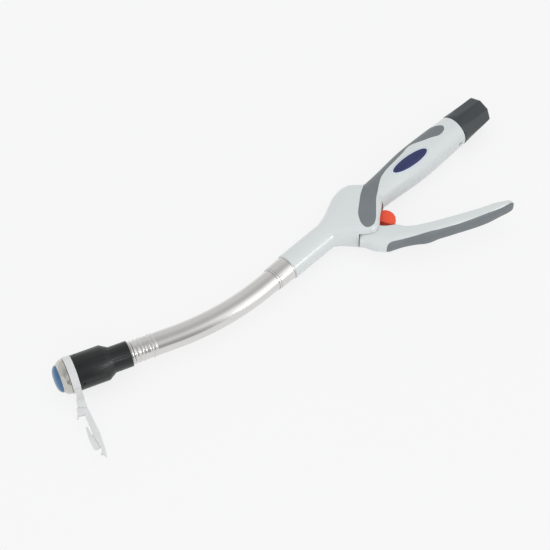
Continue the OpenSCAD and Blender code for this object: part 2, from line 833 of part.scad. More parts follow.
// Lead screw with two flats, held from turning by a bush in the grip.
flat_half = screw_r * 0.75;
screw_front = bend_x + link_gap;
screw_back = 9;
screw_rear = rear_x + knob_long - screw_back;
fork_long = 9;
band_thick = 1.2;
band_in_fork = 6.5;
fork_r = 4;
rivet_at = 3;
rivet_hole = 1.5;
// how far the band's end leans off the axis once it is drawn out of the bend
travel_side = pow(anvil_travel + link_gap + band_in_fork, 2) / (2 * bend_r);
module fork_cut(side) {
    // wide enough for the band to lean over as it enters the bend
    w = band_thick + travel_side + 4 * air;
    translate([-eps, side * travel_side / 2 - w / 2, -fork_r]) cube([band_in_fork + 2 * air, w, 2 * fork_r]);
}

module lead_screw() {
    color(steel_grey) placed() difference() {
        union() {
            intersection() {
                rod(screw_front + fork_long, screw_rear, screw_r);
                translate([screw_front, -screw_r, -flat_half])
                    cube([screw_rear - screw_front, 2 * screw_r, 2 * flat_half]);
            }
            rod(screw_front, screw_front + fork_long, fork_r);
        }
        translate([screw_front, 0, 0]) fork_cut(1);
        translate([screw_front + rivet_at, 0, 0]) rotate([90, 0, 0])
            cylinder(h = 3 * fork_r, r = rivet_hole, center = true);
    }
}

module guide_bush() {
    color(brass_yellow) placed() difference() {
        rod(web_xs[1] - bush_past, web_xs[1] + web + bush_past, drive_bore - running);
        intersection() {
            rod(web_xs[1] - 2 * bush_past, web_xs[1] + web + 2 * bush_past, screw_r + running);
            translate([web_xs[1] - 2 * bush_past, -drive_bore, -flat_half - running])
                cube([web + 4 * bush_past, 2 * drive_bore, 2 * (flat_half + running)]);
        }
    }
}

// Pull band round the bend, with a rivet at each end that slides across the forks.
band_high = 5.6;
band_reach_angle = (link_gap + band_in_fork) / bend_r * 180 / PI;
rivet_r = 1;
rivet_long = 7;
module pull_band() {
    color(steel_grey) {
        round_bend(-band_reach_angle, bend_angle + band_reach_angle) difference() {
            square([band_thick, band_high], center = true);
        }
        placed() translate([screw_front + rivet_at, 0, 0]) band_rivet(link_gap + rivet_at);
        in_head() translate([-head_reach + link_gap + rivet_at, 0, 0])
            mirror([0, 1, 0]) band_rivet(link_gap + rivet_at);
    }
}

module band_rivet(past) {
    // the band has already left the straight axis by this much at the rivet
    translate([0, past * past / (2 * bend_r), 0]) rotate([90, 0, 0])
        cylinder(h = rivet_long, r = rivet_r, center = true);
}

nut_past = 20;
module drive_nut() {
    color(brass_yellow) placed() difference() {
        union() {
            rod(thrust_x, rear_x + nut_past, nut_room - air);
            rod(thrust_x, thrust_x + flange_thick, thrust_r - air);
        }
        rod(thrust_x - eps, rear_x + nut_past + eps, screw_r + running);
    }
}

washer_bore_gap = 1;
module thrust_washers() {
    flange_rear = thrust_x + flange_thick;
    color(steel_grey) placed() {
        pipe(thrust_x - washer_room, thrust_x - air, thrust_r, screw_r + washer_bore_gap);
        pipe(flange_rear + air, flange_rear + washer_room, thrust_r, nut_room);
    }
}

// Knob: turned form with long shallow flutes that deepen to the far end.
knob_front = rear_x + air;
knob_back = knob_front + knob_long;
knob_lip = 0.4;
knob_band = 3;
end_round = 2.4;
flute_r = 26;
flute_lead = 2;
flute_rise = 0.1;
screw_well = 1;
module knob() {
    color(near_black) placed() difference() {
        turned([
            [knob_front, nut_room - air], [knob_front, knob_r - knob_lip], [knob_front + knob_lip, knob_r],
            [knob_front + knob_band, knob_r], [knob_back - end_round, knob_end_r],
            [knob_back - end_round / 2, knob_end_r - end_round / 6],
            [knob_back - end_round / 6, knob_end_r - end_round / 2],
            [knob_back, knob_end_r - end_round], [knob_back, 0], [rear_x + nut_past, 0],
            [rear_x + nut_past, nut_room - air]
        ]);
        for (i = [0 : knob_flutes - 1]) rotate([360 * (i + 0.5) / knob_flutes, 0, 0])
            translate([knob_front + flute_lead, 0, knob_r + flute_r + flute_rise])
                rotate([0, 90 + flute_lean, 0]) cylinder(h = knob_long + 2 * flute_lead, r = flute_r, $fn = 180);
        rod(rear_x + nut_past - eps, screw_rear + screw_well, screw_r + screw_well);
    }
}

// Anvil: steel head with a blue cap, a soft washer for the knife, its shaft and the rod that pulls it.
anvil_face = anvil_gap;
rim_high = 1.2;
rim_round = 0.3;
groove_gap = 0.3;
washer_floor = 2.5;
washer_sink = 0.4;
washer_inner = shaft_r + 1;
pocket_deep = 0.4;
pocket_wide = 0.9;
module anvil_head() {
    color(steel_grey) in_head() difference() {
        turned(concat(
            [[anvil_face, shaft_r], [anvil_face, anvil_r - rim_round], [anvil_face + rim_round, anvil_r]],
            [[anvil_face + rim_high, anvil_r]],
            [for (i = [1 : 6]) let (s = i / 6) [
                anvil_face + rim_high + s * (anvil_steel - rim_high), cap_r + (anvil_r - cap_r) * (1 - s * s)
            ]],
            [[anvil_face + anvil_steel, shaft_r]]
        ));
        // groove for the washer
        difference() {
            rod(anvil_face - eps, anvil_face + washer_floor, knife_r + groove_gap);
            rod(anvil_face - wall, anvil_face + washer_floor + wall, washer_inner);
        }
        // staple pockets on both rings
        both_rows() translate([anvil_face, 0, 0])
            cube([2 * pocket_deep, staple_wide, pocket_wide], center = true);
    }
}

// below 1, the dome is fuller than an ellipse
cap_full = 0.8;
module anvil_cap() {
    color(cap_blue) in_head() turned(concat(
        [[anvil_face + anvil_steel, 0], [anvil_face + anvil_steel, cap_r]],
        [for (i = [1 : 9]) let (a = 10 * i)
            [anvil_face + anvil_steel + cap_high * sin(a), cap_r * pow(cos(a), cap_full)]]
    ));
}

module cutting_washer() {
    color(spacer_white) in_head()
        pipe(
            anvil_face + washer_sink, anvil_face + washer_floor, knife_r + groove_gap - running,
            washer_inner + running
        );
}

shaft_back = -16;
pull_r = 2.6;
module anvil_shaft() {
    color(steel_grey) in_head() pipe(shaft_back, anvil_face + anvil_steel, shaft_r, pull_r);
}

module pull_rod() {
    color(steel_grey) in_head() difference() {
        union() {
            rod(-head_reach + link_gap, -head_reach + link_gap + fork_long, fork_r);
            rod(-head_reach + link_gap, anvil_face, pull_r);
        }
        translate([-head_reach + link_gap, 0, 0]) fork_cut(-1);
        translate([-head_reach + link_gap + rivet_at, 0, 0]) rotate([90, 0, 0])
            cylinder(h = 3 * fork_r, r = rivet_hole, center = true);
    }
}

// Shipping spacer: an open ring between head and anvil, with a pull tail.
spacer_slip = 0.8;
spacer_bore = shaft_r + spacer_slip;
recess_deep = 1.3;
recess_wall = 2;
tail_thick = 3;
tail_wide = 12.7;
module spacer_ring() {
    color(spacer_white) in_head() {
        difference() {
            pipe(air, anvil_gap - air, spacer_r, spacer_bore);
            translate([0, -spacer_r, 0])
                cube([3 * anvil_gap, 2 * spacer_r, 2 * spacer_bore - eps], center = true);
            // shallow recess over the staples
            pipe(0, recess_deep, spacer_r - recess_wall, spacer_bore + recess_wall * 1.9);
        }
        tail_part();
    }
}

// Outlines of the tail: shares of its width out from the head's face, and of its length along it.
neck_shares = [
    [0.05, 0.16], [0.44, 0.16], [0.45, 0.24], [0.5, 0.27], [0.61, 0.31], [0.71, 0.385], [0.8, 0.395],
    [0.85, 0.45], [1, 0.5], [0.9, 0.497], [0.82, 0.472], [0.44, 0.485], [0.2, 0.47], [0.16, 0.4],
    [0.12, 0.34], [0.055, 0.26]
];
bar_shares = [
    [0.16, 0.4], [0.42, 0.45], [0.465, 0.51], [0.47, 0.7], [0.44, 0.76], [0.36, 0.87], [0.31, 0.915],
    [0.49, 0.945], [0.46, 0.962], [0.36, 0.955], [0.25, 1], [0.17, 0.97], [0.05, 0.73], [0.065, 0.68]
];
leaf_shares = [
    [0.71, 0.61], [0.6, 0.62], [0.56, 0.7], [0.44, 0.74], [0.26, 0.87], [0.58, 0.885], [0.77, 0.87],
    [0.8, 0.745]
];
// raised plate that the tail is gripped by
plate_shares = [[0.12, 0.34], [0.61, 0.31], [0.71, 0.385], [0.21, 0.425]];
plate_rise = 1.8;
module tail_outline(shares) {
    polygon([for (s = shares) [s[0] * tail_wide, s[1] * tail_long]]);
}

module tail_part() {
    linear_extrude(tail_thick, center = true) {
        tail_outline(neck_shares);
        tail_outline(bar_shares);
    }
    translate([0, 0, -tail_thick / 2]) {
        linear_extrude(tail_thick / 2) tail_outline(leaf_shares);
        linear_extrude(tail_thick + plate_rise) tail_outline(plate_shares);
    }
}

upper_shell();
lower_shell();
upper_inlay();
lower_inlay();
label_plate();
shell_screws();
tube_collar();
outer_tube();
head_housing();
staple_cartridge();
staples();
staple_pusher();
circular_knife();
push_sleeve();
push_tube();
firing_rod();
firing_yoke();
return_spring();
lever();
lever_grip();
pivot_pin();
safety_latch();
latch_pin();
lead_screw();
guide_bush();
pull_band();
drive_nut();
thrust_washers();
knob();
anvil_head();
anvil_cap();
cutting_washer();
anvil_shaft();
pull_rod();
spacer_ring();
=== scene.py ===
# Circular surgical stapler lying on its side on a pale table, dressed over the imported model.
import bpy
import math
from mathutils import Matrix, Vector


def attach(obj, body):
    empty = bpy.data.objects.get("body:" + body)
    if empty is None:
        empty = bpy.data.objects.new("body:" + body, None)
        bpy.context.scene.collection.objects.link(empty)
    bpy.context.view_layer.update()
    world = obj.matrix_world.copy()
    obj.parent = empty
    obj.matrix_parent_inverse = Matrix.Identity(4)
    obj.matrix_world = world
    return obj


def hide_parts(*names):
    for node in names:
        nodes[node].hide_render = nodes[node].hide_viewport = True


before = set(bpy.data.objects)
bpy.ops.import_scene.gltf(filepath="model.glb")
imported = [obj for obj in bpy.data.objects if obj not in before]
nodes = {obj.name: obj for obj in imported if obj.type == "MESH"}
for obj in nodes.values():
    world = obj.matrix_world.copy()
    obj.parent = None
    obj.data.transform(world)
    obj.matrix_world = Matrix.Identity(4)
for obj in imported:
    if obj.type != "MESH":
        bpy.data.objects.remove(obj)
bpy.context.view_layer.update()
bpy.ops.object.select_all(action="DESELECT")
print("stage: packed model loaded")

mm = 0.001
overrun = 1   # how far a cutting tool runs past a face
fineWeld = 0.000001   # points closer than this, in metres, are one

# Handle axis and bend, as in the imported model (mm, angles in degrees)
layout = {
    "restBack": 98,      # from the front of the collar back to the origin
    "axisHigh": 15.5,    # handle axis above the table
    "bendAngle": 21.5,
    "bendRadius": 230,
    "bendStart": -10,
    "headReach": 82.4,   # straight run from the bend to the face of the head
}
bendTurn = math.radians(layout["bendAngle"])
bendEnd = Vector((
    layout["bendStart"] - layout["bendRadius"] * math.sin(bendTurn),
    layout["bendRadius"] * (1 - math.cos(bendTurn)),
))
handlePlace = Matrix.Translation((-layout["restBack"] * mm, 0, layout["axisHigh"] * mm))

# Modelling helpers

def onlySelect(piece):
    bpy.ops.object.select_all(action="DESELECT")
    piece.select_set(True)
    bpy.context.view_layer.objects.active = piece


def applyModifiers(piece):
    onlySelect(piece)
    for change in list(piece.modifiers):
        bpy.ops.object.modifier_apply(modifier=change.name)


def cleanMesh(piece, near=0.00001):
    onlySelect(piece)
    bpy.ops.object.mode_set(mode="EDIT")
    bpy.ops.mesh.select_all(action="SELECT")
    bpy.ops.mesh.remove_doubles(threshold=near)
    bpy.ops.mesh.normals_make_consistent(inside=False)
    bpy.ops.object.mode_set(mode="OBJECT")


def settle(piece, place):
    piece.matrix_world = place @ piece.matrix_world
    onlySelect(piece)
    bpy.ops.object.transform_apply(location=True, rotation=True, scale=True)


def carve(piece, tool, how="DIFFERENCE"):
    change = piece.modifiers.new("carve", "BOOLEAN")
    change.operation = how
    change.solver = "EXACT"
    change.object = tool
    applyModifiers(piece)
    bpy.data.objects.remove(tool)


def softenEdges(piece, wide, sharpest, steps):
    change = piece.modifiers.new("edges", "BEVEL")
    change.width = wide * mm
    change.segments = steps
    change.limit_method = "ANGLE"
    change.angle_limit = math.radians(sharpest)
    change.miter_outer = "MITER_ARC"
    applyModifiers(piece)


def finish(piece, name, body, materials, replaced=(), smooth=32):
    piece.name = name
    piece.data.name = name
    onlySelect(piece)
    bpy.ops.object.shade_smooth_by_angle(angle=math.radians(smooth))
    if len(piece.data.materials) == 0:
        for material in materials:
            piece.data.materials.append(material)
    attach(piece, body)
    if replaced:
        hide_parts(*replaced)
    return piece


def rod(start, end, radius, sides=96):
    bpy.ops.mesh.primitive_cylinder_add(
        vertices=sides, radius=radius * mm, depth=(end - start) * mm,
        location=((start + end) / 2 * mm, 0, 0), rotation=(0, math.pi / 2, 0),
    )
    tool = bpy.context.object
    settle(tool, Matrix.Identity(4))
    return tool


def post(x, y, low, high, radius, sides=64):
    bpy.ops.mesh.primitive_cylinder_add(
        vertices=sides, radius=radius * mm, depth=(high - low) * mm,
        location=(x * mm, y * mm, (low + high) / 2 * mm),
    )
    tool = bpy.context.object
    settle(tool, Matrix.Identity(4))
    return tool


def block(low, high):
    middle = [(a + b) / 2 * mm for a, b in zip(low, high)]
    bpy.ops.mesh.primitive_cube_add(size=1, location=middle, scale=[(b - a) * mm for a, b in zip(low, high)])
    tool = bpy.context.object
    settle(tool, Matrix.Identity(4))
    return tool


def prism(outline, low, high):
    # a filled circle takes the outline's points and is then pulled up
    bpy.ops.mesh.primitive_circle_add(vertices=len(outline), radius=mm, fill_type="NGON")
    tool = bpy.context.object
    for vertex, (x, y) in zip(tool.data.vertices, outline):
        vertex.co = (x * mm, y * mm, low * mm)
    bpy.ops.object.mode_set(mode="EDIT")
    bpy.ops.mesh.select_all(action="SELECT")
    bpy.ops.mesh.extrude_region_move(TRANSFORM_OT_translate={"value": (0, 0, (high - low) * mm)})
    bpy.ops.mesh.select_all(action="SELECT")
    bpy.ops.mesh.normals_make_consistent(inside=False)
    bpy.ops.object.mode_set(mode="OBJECT")
    return tool


def roundCorners(outline, radius, steps=4, nearlyStraight=172):
    # each corner of an outline gives way to a small arc
    made = []
    count = len(outline)
    for i, point in enumerate(outline):
        here = Vector(point)
        before = Vector(outline[i - 1]) - here
        after = Vector(outline[(i + 1) % count]) - here
        opening = before.angle(after, math.pi)
        if opening > math.radians(nearlyStraight):
            made.append(here)
            continue
        reach = min(radius / math.tan(opening / 2), before.length * 0.45, after.length * 0.45)
        first = here + before.normalized() * reach
        last = here + after.normalized() * reach
        for k in range(steps + 1):
            t = k / steps
            made.append(first * (1 - t) ** 2 + here * 2 * t * (1 - t) + last * t ** 2)
    return [(p.x, p.y) for p in made]


def lofted(name, rings, wrap=False):
    # forms with a different section at every station are laid out ring by ring
    count = len(rings[0])
    faces = []
    for i in range(len(rings) if wrap else len(rings) - 1):
        k = (i + 1) % len(rings)
        for j in range(count):
            n = (j + 1) % count
            faces.append((i * count + j, k * count + j, k * count + n, i * count + n))
    if not wrap:
        faces.append(tuple(range(count)))
        faces.append(tuple((len(rings) - 1) * count + j for j in reversed(range(count))))
    mesh = bpy.data.meshes.new(name)
    mesh.from_pydata([Vector(p) * mm for ring in rings for p in ring], [], faces)
    piece = bpy.data.objects.new(name, mesh)
    bpy.context.collection.objects.link(piece)
    cleanMesh(piece)
    return piece


def softCopy(node, wide, sharpest, steps):
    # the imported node's shape with its arrises broken, as a mould or a lathe leaves them
    piece = nodes[node].copy()
    piece.data = nodes[node].data.copy()
    piece.parent = None
    piece.data.materials.clear()
    bpy.context.collection.objects.link(piece)
    onlySelect(piece)
    bpy.ops.object.mode_set(mode="EDIT")
    bpy.ops.mesh.select_all(action="SELECT")
    bpy.ops.mesh.remove_doubles(threshold=0.000002)
    bpy.ops.mesh.dissolve_limited(angle_limit=math.radians(0.6))
    bpy.ops.object.mode_set(mode="OBJECT")
    softenEdges(piece, wide, sharpest, steps)
    return piece


def smoothHeight(points, x):
    # smooth line through the points that never overshoots them
    i = 0
    while i < len(points) - 2 and x >= points[i + 1][0]:
        i += 1

    def steep(k):
        return (points[k + 1][1] - points[k][1]) / (points[k + 1][0] - points[k][0])

    def lean(k):
        if k == 0:
            return steep(0)
        if k == len(points) - 1:
            return steep(k - 1)
        a, b = steep(k - 1), steep(k)
        return 0 if a * b <= 0 else 2 * a * b / (a + b)

    wide = points[i + 1][0] - points[i][0]
    s = min(1, max(0, (x - points[i][0]) / wide))
    return (
        (2 * s ** 3 - 3 * s ** 2 + 1) * points[i][1] + (s ** 3 - 2 * s ** 2 + s) * wide * lean(i)
        + (3 * s ** 2 - 2 * s ** 3) * points[i + 1][1] + (s ** 3 - s ** 2) * wide * lean(i + 1)
    )


def curvePoint(a, b, c, d, t):
    # point between b and c on the smooth curve through all four
    return 0.5 * (2 * b + (c - a) * t + (2 * a - 5 * b + 4 * c - d) * t ** 2 + (3 * b - a - 3 * c + d) * t ** 3)


def smoothLoop(points, steps=6):
    # closed curve through the points
    made = []
    count = len(points)
    for i in range(count):
        corners = [Vector(points[(i + k) % count]) for k in (-1, 0, 1, 2)]
        made += [curvePoint(*corners, k / steps) for k in range(steps)]
    return [(p.x, p.y) for p in made]


def smoothOpen(points, steps=5):
    # open curve through the points
    made = []
    last = len(points) - 1
    for i in range(last):
        corners = [Vector(points[min(last, max(0, i + k))]) for k in (-1, 0, 1, 2)]
        made += [curvePoint(*corners, k / steps) for k in range(steps)]
    return [(p.x, p.y) for p in made] + [tuple(points[-1])]


def shrinkLoop(points, inward):
    # outline moved inwards by a hair, for the seam between two moulded parts
    made = []
    count = len(points)
    pairs = [(points[i], points[(i + 1) % count]) for i in range(count)]
    area = sum(a[0] * b[1] - b[0] * a[1] for a, b in pairs)
    side = 1 if area > 0 else -1
    for i in range(count):
        along = (Vector(points[(i + 1) % count]) - Vector(points[i - 1])).normalized()
        made.append((points[i][0] - side * along.y * inward, points[i][1] + side * along.x * inward))
    return made


# Materials

def toLinear(hexText):
    parts = [int(hexText[i:i + 2], 16) / 255 for i in (1, 3, 5)]
    return [c / 12.92 if c <= 0.04045 else ((c + 0.055) / 1.055) ** 2.4 for c in parts] + [1]


def addNode(tree, kind, inputs=(), **settings):
    made = tree.nodes.new("ShaderNode" + kind)
    for name, value in settings.items():
        setattr(made, name, value)
    for socket, value in dict(inputs).items():
        if isinstance(value, bpy.types.NodeSocket):
            tree.links.new(value, made.inputs[socket])
        else:
            made.inputs[socket].default_value = value
    return made


def newMaterial(name):
    material = bpy.data.materials.new(name)
    material.use_nodes = True
    tree = material.node_tree
    tree.nodes.clear()
    shader = addNode(tree, "BsdfPrincipled")
    output = addNode(tree, "OutputMaterial")
    tree.links.new(shader.outputs[0], output.inputs[0])
    return material, tree, shader


def twoTone(tree, factor, first, second, start=0.3, end=0.7):
    made = addNode(tree, "ValToRGB", {"Fac": factor})
    made.color_ramp.elements[0].color = toLinear(first)
    made.color_ramp.elements[1].color = toLinear(second)
    made.color_ramp.elements[0].position = start
    made.color_ramp.elements[1].position = end
    return made.outputs[0]


def moulded(name, look):
    # injection-moulded plastic: faint cloudiness from the melt, and the mould's fine spark-eroded grain
    material, tree, shader = newMaterial(name)
    place = addNode(tree, "TexCoord").outputs["Object"]
    cloud = addNode(tree, "TexNoise", {"Vector": place, "Scale": 1 / (look["cloud"] * mm), "Detail": 3})
    grain = addNode(tree, "TexNoise", {"Vector": place, "Scale": 1 / (look["grain"] * mm), "Detail": 4})
    tree.links.new(twoTone(tree, cloud.outputs[0], look["colour"], look["tint"]), shader.inputs["Base Color"])
    rough = addNode(tree, "MapRange", {
        "Value": grain.outputs[0], 1: 0.25, 2: 0.75,
        3: look["rough"] - look["roughSpread"], 4: look["rough"] + look["roughSpread"],
    })
    tree.links.new(rough.outputs[0], shader.inputs["Roughness"])
    bump = addNode(tree, "Bump", {
        "Height": grain.outputs[0], "Strength": look["bump"], "Distance": look["grain"] * mm * 0.25,
    })
    tree.links.new(bump.outputs[0], shader.inputs["Normal"])
    for socket, value in look.get("sockets", {}).items():
        shader.inputs[socket].default_value = value
    return material


def machined(name, look):
    # metal with fine tool marks: the marks are thin in the direction that "marks" gives, in mm
    material, tree, shader = newMaterial(name)
    source = "UV" if look.get("useUv") else "Object"
    place = addNode(tree, "TexCoord").outputs[source]
    stretch = addNode(tree, "Mapping", {"Vector": place, "Scale": [1 / (m * mm) for m in look["marks"]]})
    marks = addNode(tree, "TexNoise", {"Vector": stretch.outputs[0], "Scale": 1, "Detail": 4, "Roughness": 0.6})
    cloud = addNode(tree, "TexNoise", {"Vector": place, "Scale": 1 / (look["cloud"] * mm), "Detail": 2})
    tree.links.new(twoTone(tree, cloud.outputs[0], look["colour"], look["tint"]), shader.inputs["Base Color"])
    rough = addNode(tree, "MapRange", {
        "Value": marks.outputs[0], 1: 0.3, 2: 0.7,
        3: look["rough"] - look["roughSpread"], 4: look["rough"] + look["roughSpread"],
    })
    tree.links.new(rough.outputs[0], shader.inputs["Roughness"])
    bump = addNode(tree, "Bump", {
        "Height": marks.outputs[0], "Strength": look["bump"], "Distance": look["deep"] * mm,
    })
    tree.links.new(bump.outputs[0], shader.inputs["Normal"])
    shader.inputs["Metallic"].default_value = 1
    for socket, value in look.get("sockets", {}).items():
        shader.inputs[socket].default_value = value
    return material


# ABS, satin mould finish: pale cool grey, takes a clear but soft highlight
absGrey = moulded("absGreySatin", {
    "colour": "#dbdfdf", "tint": "#d7dcdc", "cloud": 40, "grain": 0.5, "bump": 0.1,
    "rough": 0.25, "roughSpread": 0.03, "sockets": {"IOR": 1.54},
})
# TPE overmoulding, soft matte: dark grey, highlights spread wide
softGrey = moulded("tpeSoftGrip", {
    "colour": "#747b7e", "tint": "#6d7477", "cloud": 30, "grain": 0.45, "bump": 0.3,
    "rough": 0.55, "roughSpread": 0.05, "sockets": {"IOR": 1.5, "Sheen Weight": 0.08, "Sheen Roughness": 0.5},
})
# Glass-filled nylon, near black, matte from the fibres at its skin
blackNylon = moulded("nylonBlackMatte", {
    "colour": "#171c1d", "tint": "#131819", "cloud": 18, "grain": 0.6, "bump": 0.2,
    "rough": 0.34, "roughSpread": 0.04, "sockets": {"IOR": 1.53, "Specular IOR Level": 0.38},
})
# ABS, near black, etched mould finish on the knob
knobBlack = moulded("absBlackEtched", {
    "colour": "#333a3d", "tint": "#2d3437", "cloud": 14, "grain": 0.5, "bump": 0.25,
    "rough": 0.33, "roughSpread": 0.05, "sockets": {"IOR": 1.54},
})
# Polycarbonate, blue, polished mould: clear reflections over a deep colour
capBlue = moulded("polycarbonateBlue", {
    "colour": "#386a96", "tint": "#32628c", "cloud": 9, "grain": 0.5, "bump": 0.08,
    "rough": 0.28, "roughSpread": 0.03, "sockets": {"IOR": 1.58},
})
# Acetal, signal red, polished mould
latchRed = moulded("acetalRedGloss", {
    "colour": "#ff5a36", "tint": "#f8502f", "cloud": 10, "grain": 0.4, "bump": 0.08,
    "rough": 0.26, "roughSpread": 0.03, "sockets": {"IOR": 1.48},
})
# Polypropylene, natural white: milky, light spreads a little under the skin
spacerWhite = moulded("polypropyleneMilky", {
    "colour": "#e0e1e1", "tint": "#dadbdb", "cloud": 16, "grain": 0.5, "bump": 0.12, "rough": 0.38,
    "roughSpread": 0.04, "sockets": {
        "IOR": 1.49, "Subsurface Weight": 0.3, "Subsurface Radius": [1, 1, 0.95], "Subsurface Scale": 0.002,
    },
})
# Acetal, natural grey, for the parts inside
innerGrey = moulded("acetalGrey", {
    "colour": "#959a9d", "tint": "#8d9295", "cloud": 15, "grain": 0.5, "bump": 0.15,
    "rough": 0.4, "roughSpread": 0.04, "sockets": {"IOR": 1.48},
})
# Printed polyester film: navy ink under a clear skin
labelNavy = moulded("filmNavyInk", {
    "colour": "#1c2a60", "tint": "#192658", "cloud": 12, "grain": 0.4, "bump": 0.05,
    "rough": 0.3, "roughSpread": 0.03, "sockets": {"IOR": 1.5, "Coat Weight": 0.3, "Coat Roughness": 0.15},
})
# The film's unprinted edge
labelEdge = moulded("filmPaleEdge", {
    "colour": "#dfe5f2", "tint": "#d9e0ee", "cloud": 12, "grain": 0.4, "bump": 0.05,
    "rough": 0.3, "roughSpread": 0.03, "sockets": {"IOR": 1.5},
})
# Aluminium tube, brushed round its axis: bright, with the highlight drawn out along the tube
brushedTube = machined("aluminiumBrushedTube", {
    "colour": "#dedddb", "tint": "#d9d8d6", "cloud": 25, "marks": (0.35, 30, 1), "useUv": True,
    "bump": 0.06, "deep": 0.01, "rough": 0.2, "roughSpread": 0.03,
})
# The same metal, turned
turnedAluminium = machined("aluminiumTurned", {
    "colour": "#dedddb", "tint": "#d9d8d6", "cloud": 25, "marks": (0.3, 12, 12),
    "bump": 0.06, "deep": 0.01, "rough": 0.2, "roughSpread": 0.03,
})
# Stainless steel, polished anvil
polishedSteel = machined("stainlessPolished", {
    "colour": "#cfccc7", "tint": "#c8c5c0", "cloud": 12, "marks": (0.4, 8, 8),
    "bump": 0.05, "deep": 0.01, "rough": 0.1, "roughSpread": 0.02,
})
# Stainless steel, ground or drawn, for pins, rods, springs and blades
groundSteel = machined("stainlessGround", {
    "colour": "#c4c5c7", "tint": "#bbbcbf", "cloud": 10, "marks": (0.3, 5, 5),
    "bump": 0.25, "deep": 0.02, "rough": 0.3, "roughSpread": 0.06,
})
# Titanium wire, drawn, for the staples
drawnWire = machined("titaniumWireDrawn", {
    "colour": "#b9b7b4", "tint": "#b0aeab", "cloud": 4, "marks": (4, 0.15, 0.15),
    "bump": 0.2, "deep": 0.01, "rough": 0.32, "roughSpread": 0.05,
})
# Brass, turned, for the nut and the bush
turnedBrass = machined("brassTurned", {
    "colour": "#d3ae6c", "tint": "#cba561", "cloud": 10, "marks": (0.3, 5, 5),
    "bump": 0.2, "deep": 0.02, "rough": 0.28, "roughSpread": 0.05,
})
print("stage: materials made")

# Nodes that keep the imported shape
kept = {
    "staple_cartridge": spacerWhite, "staples": drawnWire, "staple_pusher": innerGrey,
    "circular_knife": groundSteel, "push_sleeve": innerGrey, "push_tube": innerGrey,
    "firing_rod": groundSteel, "firing_yoke": innerGrey, "return_spring": groundSteel,
    "pivot_pin": groundSteel, "latch_pin": groundSteel, "lead_screw": groundSteel,
    "guide_bush": turnedBrass, "pull_band": groundSteel, "drive_nut": turnedBrass,
    "thrust_washers": groundSteel, "cutting_washer": spacerWhite, "anvil_shaft": polishedSteel,
    "pull_rod": groundSteel, "shell_screws": groundSteel,
}
for name, material in kept.items():
    mesh = nodes[name].data
    mesh.materials.clear()
    mesh.materials.append(material)


# Body: two half shells lofted along the handle axis
body = {
    "noseX": 17.5, "bulbX": 62, "waistX": 120, "swellX": 172, "rearX": 222,
    "noseR": 11.2, "waistR": 12.6, "swellR": 15.7, "rearR": 14.3,
    "shoulder": 23, "belly": 31, "bulbHalf": 16.1, "halfThick": 15.5, "wall": 2.2,
    "edgeRound": 0.7, "flatBlend": 0.6, "backFull": 0.4, "bellyFull": 1.6,
    "noseStep": 3, "bulbStep": 0.8, "gripStep": 2.2, "sides": 72,
}
backShares = [(0.19, 0.19), (0.36, 0.54), (0.55, 0.9), (0.69, 1), (0.79, 0.93), (0.88, 0.63), (0.945, 0.29)]
bellyShares = [
    (0.07, 0.09), (0.19, 0.34), (0.293, 0.657), (0.414, 0.92), (0.49, 1), (0.56, 0.95),
    (0.628, 0.85), (0.691, 0.7), (0.76, 0.56), (0.829, 0.43), (0.9, 0.28), (0.955, 0.15),
]
thickShares = [(0.19, 0.3), (0.36, 0.72), (0.5, 1), (0.74, 1), (0.86, 0.84), (0.94, 0.64)]
flatShares = [(0, 0), (0.35, 1), (0.5, 1), (0.8, 0.5), (1, 0)]
bulbLong = body["waistX"] - body["bulbX"]


def bodyLine(shares, reach, waist):
    line = [(body["noseX"], body["noseR"]), (body["bulbX"], body["noseR"])]
    line += [(body["bulbX"] + a * bulbLong, body["noseR"] + b * (reach - body["noseR"])) for a, b in shares]
    return line + [(body["waistX"], waist), (body["swellX"], body["swellR"]), (body["rearX"], body["rearR"])]


backLine = bodyLine(backShares, body["shoulder"], body["waistR"])
bellyLine = bodyLine(bellyShares, body["belly"], body["waistR"])
thickLine = bodyLine(thickShares, body["bulbHalf"], body["waistR"] + body["wall"] / 2)
flatLine = [(body["bulbX"] + a * bulbLong, b) for a, b in flatShares]


def power(c, n):
    return math.copysign(abs(c) ** (2 / n), c)


def flattened(z):
    # the sides of the bulb run softly into flats
    limit, blend = body["halfThick"], body["flatBlend"]
    h = min(1, max(0, 0.5 + 0.5 * (limit - z) / blend))
    return limit + (z - limit) * h - blend * h * (1 - h)


def bodySection(x, shrink=0):
    top = smoothHeight(backLine, x) - shrink
    low = -smoothHeight(bellyLine, x) + shrink
    k = smoothHeight(flatLine, x)
    return (top + low) / 2, (top - low) / 2, smoothHeight(thickLine, x) - shrink, k


def fullness(c, k):
    # power of the section's outline: an ellipse, or squarer where the bulb is flat
    return 2 + (body["backFull"] if c > 0 else body["bellyFull"]) * k


def bodyPoint(x, t, shrink=0):
    middle, half, thick, k = bodySection(x, shrink)
    n = fullness(math.cos(t), k)
    return x, middle + half * power(math.cos(t), n), flattened(thick * power(math.sin(t), n))


def bodyHigh(x, y):
    # height of the upper surface above the middle plane
    middle, half, thick, k = bodySection(x)
    c = (y - middle) / half
    n = fullness(c, k)
    c = max(-1, min(1, math.copysign(abs(c) ** (n / 2), c)))
    return flattened(thick * power(math.sin(math.acos(c)), n))


def spread(start, end, step):
    count = max(1, round((end - start) / step))
    return [start + (end - start) * i / count for i in range(count)]


